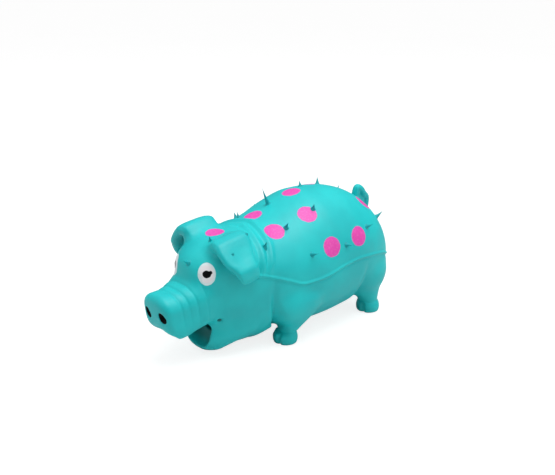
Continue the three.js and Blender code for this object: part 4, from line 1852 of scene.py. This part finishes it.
    def build_ear(self, ear: Ear, latex: Material, spike_latex_painted_shade: Material) -> list[Object]:
        """Build an ear and its spikes, with a fillet at its root and a clear space under its flap.

        Args:
            ear: the ear.
            latex: its material.
            spike_latex_painted_shade: its spikes' material, a deeper teal copy of the latex that stands
                in for the shade on the spikes.

        Returns:
            The two pieces.
        """
        side = ear.side.name.lower()
        lattice = ear.lattice(self.fine_pitch)
        plain = self._plain_in(lattice)
        flap, fillet = ear.flap(lattice, plain)
        piece = self._grown(f"skin_ear_{side}", lattice, plain, flap, fillet, ear.root_depth)
        piece.data.materials.append(latex)
        places = np.empty((len(piece.data.vertices), 3))
        piece.data.vertices.foreach_get("co", places.ravel())
        feet = []
        for place in ear.horns:
            wanted = (np.array(place) * (ear.side.value, 1, 1) + (0, ear.set_back, 0)) * MM
            nearest = int(np.linalg.norm(places - wanted, axis=1).argmin())
            normal = np.array(piece.data.vertices[nearest].normal)
            feet.append((places[nearest] / MM, normal, ear.horn_height))
        pieces = [piece, self.horns.build(f"skin_ear_{side}_spikes", feet, spike_latex_painted_shade)]
        for piece in pieces:
            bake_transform(piece)
            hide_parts(f"ear_{side}")
        return pieces

    def build_tail(self, latex: Material) -> Object:
        """Build the curled tail, webbed inside its curl, with a fillet at its root.

        Args:
            latex: its material.

        Returns:
            The piece.
        """
        tail = self.tail
        lattice = Lattice(*tail.block, self.fine_pitch)
        plain = self._plain_in(lattice)
        curl = tail.curl(lattice)
        piece = self._grown("skin_tail", lattice, plain, curl, tail.fillet, tail.root_depth)
        piece.data.materials.append(latex)
        root = self.trunk.at(tail.stations[0][0], 90)
        normal = self._normal_at(root)
        start, end = (Vector(root + reach * normal) * MM for reach in tail.bend)
        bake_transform(piece)
        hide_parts("tail")
        return piece

    def build_spikes(self, latex: Material) -> Object:
        """Build the moulded spikes of the head and the back.

        Args:
            latex: their material, the deeper teal copy of the latex that stands in for their shade.

        Returns:
            The piece.
        """
        feet = []
        for y, degrees, reach in self.spikes:
            foot = self._on_skin(self.trunk.at(y, degrees))
            feet.append((foot, self._normal_at(foot), reach * self.spike_growth))
        piece = self.horns.build("skin_spikes", feet, latex)
        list(self.squeeze_line())
        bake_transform(piece)
        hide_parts("back_skin")
        return piece


@dataclass
class Filling:
    """The loose fibre inside the skin."""

    skin: Skin
    pitch: float = 1.8
    depth: float = 3.4
    tuft: float = 1.2
    neck_gap: float = 0.3
    snout_gap: float = 4

    def _tufts(self, lattice: Lattice) -> Array:
        """Return how far the fibre's tufts stand in or out at each point of a lattice.

        Args:
            lattice: the block of points.

        Returns:
            One value for each point.
        """
        x, y, z = lattice.axes()
        waves = np.sin(x * 0.9 + np.sin(z * 0.7)) * np.sin(y * 0.8 + np.sin(x * 0.6))
        waves = waves * np.sin(z * 0.9 + 1)
        return self.tuft * (np.abs(waves) - 0.2)

    def build(self, fibre: Material) -> list[Object]:
        """Build the fibre of the body, the head and the snout.

        Args:
            fibre: its material.

        Returns:
            The three pieces.
        """
        skin = self.skin
        lattice = Lattice(*skin.block, self.pitch)
        whole = skin.lattice.sample(skin.values, lattice.points()).reshape(lattice.shape)
        trunk = np.maximum(lattice.measure(skin.trunk.rings()), whole) + self.depth
        snout = np.maximum(lattice.measure(skin.snout.rings()), whole) + self.depth
        tufts = self._tufts(lattice)
        y = lattice.axes()[1]
        shares = {
            "fibre_body": (np.maximum(trunk + tufts, skin.neck_y + self.neck_gap - y), "body_filling"),
            "fibre_head": (np.maximum(trunk + tufts, y - skin.neck_y + self.neck_gap), "head_filling"),
            "fibre_snout": (np.maximum(snout + tufts, self.snout_gap - trunk), "snout_filling"),
        }
        pieces = []
        for name, (values, node) in shares.items():
            points, faces = lattice.skin(values.astype(np.float32))
            piece = build_piece(name, points, faces)
            piece.data.materials.append(fibre)
            if name == "fibre_body":
                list(skin.squeeze_line())
                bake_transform(piece)
            else:
                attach(piece, "body")
            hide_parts(node)
            pieces.append(piece)
        return pieces


@dataclass(frozen=True)
class VoiceUnit:
    """The reed voice unit in the throat, whose CAD solids are kept and given their finish."""

    plastic_nodes: tuple[str, ...] = (
        "voice_barrel",
        "voice_front_guard",
        "voice_tone_board",
        "voice_reed_wedge",
        "voice_rear_strainer",
    )
    reed_node: str = "voice_reed"

    def dress(self, plastic: Material, brass: Material) -> None:
        """Give the solids their materials.

        Args:
            plastic: the material of its moulded solids.
            brass: the reed's material.
        """
        for node in (*self.plastic_nodes, self.reed_node):
            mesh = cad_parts[node].data
            mesh.materials.clear()
            mesh.materials.append(brass if node == self.reed_node else plastic)


@dataclass(frozen=True)
class Lamp:
    """A soft round lamp."""

    name: str
    place: Triple
    size: float
    level: float

    def hang(self, target: Vector) -> None:
        """Hang the lamp and point it at a target.

        Args:
            target: a place, in metres.
        """
        data = bpy.data.lights.new(self.name, "AREA")
        data.shape = "DISK"
        data.size = self.size
        data.energy = self.level
        lamp = add_object(self.name, data)
        lamp.location = self.place
        lamp.rotation_euler = (target - lamp.location).to_track_quat("-Z", "Y").to_euler()


@dataclass(frozen=True)
class Studio:
    """The pale floor, the soft light and the camera at the photograph's angle."""

    azimuth: float = 48
    elevation: float = 18
    distance: float = 600
    target: Triple = (-6.2, 8.3, 66.9)
    lens: float = 51.63
    floor_half: float = 14.0
    floor_glow: float = 0.82
    glow_share: float = 0.55
    floor_tones: tuple[int, int] = (0xD6D6D6, 0xDCDCDC)
    floor_roughness: float = 0.9
    horizon_level: float = 0.14
    zenith_level: float = 0.72
    lamps: tuple[Lamp, ...] = (
        Lamp("key_lamp", (0.25, 0.1, 1.3), 1.0, 12.5),
        Lamp("fill_lamp", (1.0, 0.6, 0.7), 0.9, 2.4),
        Lamp("front_lamp", (-0.7, -1.1, 0.55), 0.9, 1.9),
    )

    def _floor_material(self) -> Material:
        """Build the pale floor's material, white to the camera but for the toy's shadow.

        Returns:
            The material.
        """
        graph, shader, material = start_material("pale_floor")
        tones = (colour(tone) for tone in self.floor_tones)
        graph.feed(shader.inputs["Base Color"], graph.mix(graph.noise(graph.place(), 3.0), *tones))
        shader.inputs["Roughness"].default_value = self.floor_roughness
        glow = graph.node("ShaderNodeEmission")
        glow.inputs["Strength"].default_value = self.floor_glow / self.glow_share
        seen = graph.node("ShaderNodeLightPath").outputs["Is Camera Ray"]
        share = graph.math("MULTIPLY", seen, self.glow_share)
        mixer = graph.node("ShaderNodeMixShader")
        graph.feed(mixer.inputs[0], share)
        graph.feed(mixer.inputs[1], shader.outputs[0])
        graph.feed(mixer.inputs[2], glow.outputs[0])
        output = next(n for n in material.node_tree.nodes if n.type == "OUTPUT_MATERIAL")
        graph.feed(output.inputs["Surface"], mixer.outputs[0])
        return material

    def _floor(self) -> None:
        """Lay the floor."""
        half = self.floor_half
        mesh = bpy.data.meshes.new("floor")
        places = [(-half, -half, 0), (half, -half, 0), (half, half, 0), (-half, half, 0)]
        mesh.from_pydata(places, [], [(0, 1, 2, 3)])
        mesh.materials.append(self._floor_material())
        add_object("floor", mesh)

    def _sky(self) -> None:
        """Build the soft light from above, behind a backdrop that the camera sees as white."""
        world = bpy.data.worlds.new("pale_world")
        world.use_nodes = True
        graph = Graph(world.node_tree)
        back = world.node_tree.nodes["Background"]
        back.inputs["Color"].default_value = (1, 1, 1, 1)
        seen = graph.node("ShaderNodeLightPath").outputs["Is Camera Ray"]
        split = graph.node("ShaderNodeSeparateXYZ")
        graph.feed(split.inputs[0], graph.node("ShaderNodeTexCoord").outputs["Generated"])
        sky = graph.run(split.outputs["Z"], 0.1, 1.0, self.horizon_level, self.zenith_level)
        graph.feed(back.inputs["Strength"], graph.math("MAXIMUM", sky, seen))
        bpy.context.scene.world = world

    def _camera(self) -> None:
        """Set the camera at the photograph's angle."""
        azimuth, elevation = math.radians(self.azimuth), math.radians(self.elevation)
        level = math.cos(elevation)
        away = Vector((math.sin(azimuth) * level, -math.cos(azimuth) * level, math.sin(elevation)))
        data = bpy.data.cameras.new("photo_camera")
        data.lens = self.lens
        data.sensor_width = 36
        data.clip_start = 0.01
        camera = add_object("photo_camera", data)
        camera.location = (Vector(self.target) + away * self.distance) * MM
        camera.rotation_euler = (-away).to_track_quat("-Z", "Y").to_euler()
        bpy.context.scene.camera = camera

    def build(self) -> None:
        """Set the view, the stage, the light and the camera."""
        bpy.context.scene.view_settings.view_transform = "Standard"
        self._floor()
        self._sky()
        for lamp in self.lamps:
            lamp.hang(Vector(self.target) * MM)
        self._camera()


def main() -> None:
    """Build the studio and the toy."""
    logging.basicConfig(level=logging.INFO, format="%(name)s: %(message)s")
    Studio().build()
    groups = Groups()
    latex = LatexFinish().build(groups)
    # painted shade: the spikes are the skin's own latex, given a deeper teal that stands in for the
    # shade on them
    spike_latex_painted_shade = LatexFinish("spike_latex_painted_shade", light=0x08AEB4, deep=0x04A0A6).build(groups)
    fibre = PlainFinish(
        "white_fibre",
        shaded=0xD5D6D2,
        bright=0xF5F4EF,
        roughness=(0.85, 1.0),
        pit_scale=1800.0,
        mottle_scale=160.0,
        dust_share=0.2,
        sheen=0.4,
        relief=0.0012,
        relief_share=1.0,
    ).build(groups)
    plastic = PlainFinish("black_plastic", 0x15171A, 0x24272B, (0.45, 0.58), 1400.0).build(groups)
    brass = PlainFinish("rolled_brass", 0xC79F52, 0xD9B56B, (0.25, 0.38), 2200.0, metallic=1.0)
    brass = brass.build(groups)
    skin = Skin()
    pieces = skin.build_body(latex)
    for ear in skin.ears:
        pieces += skin.build_ear(ear, latex, spike_latex_painted_shade)
    pieces += [skin.build_tail(latex), skin.build_spikes(spike_latex_painted_shade)]
    pieces += Filling(skin).build(fibre)
    VoiceUnit().dress(plastic, brass)
    for piece in pieces:
        log.info("%s: %d faces", piece.name, len(piece.data.polygons))


if __name__ == "__main__":
    main()
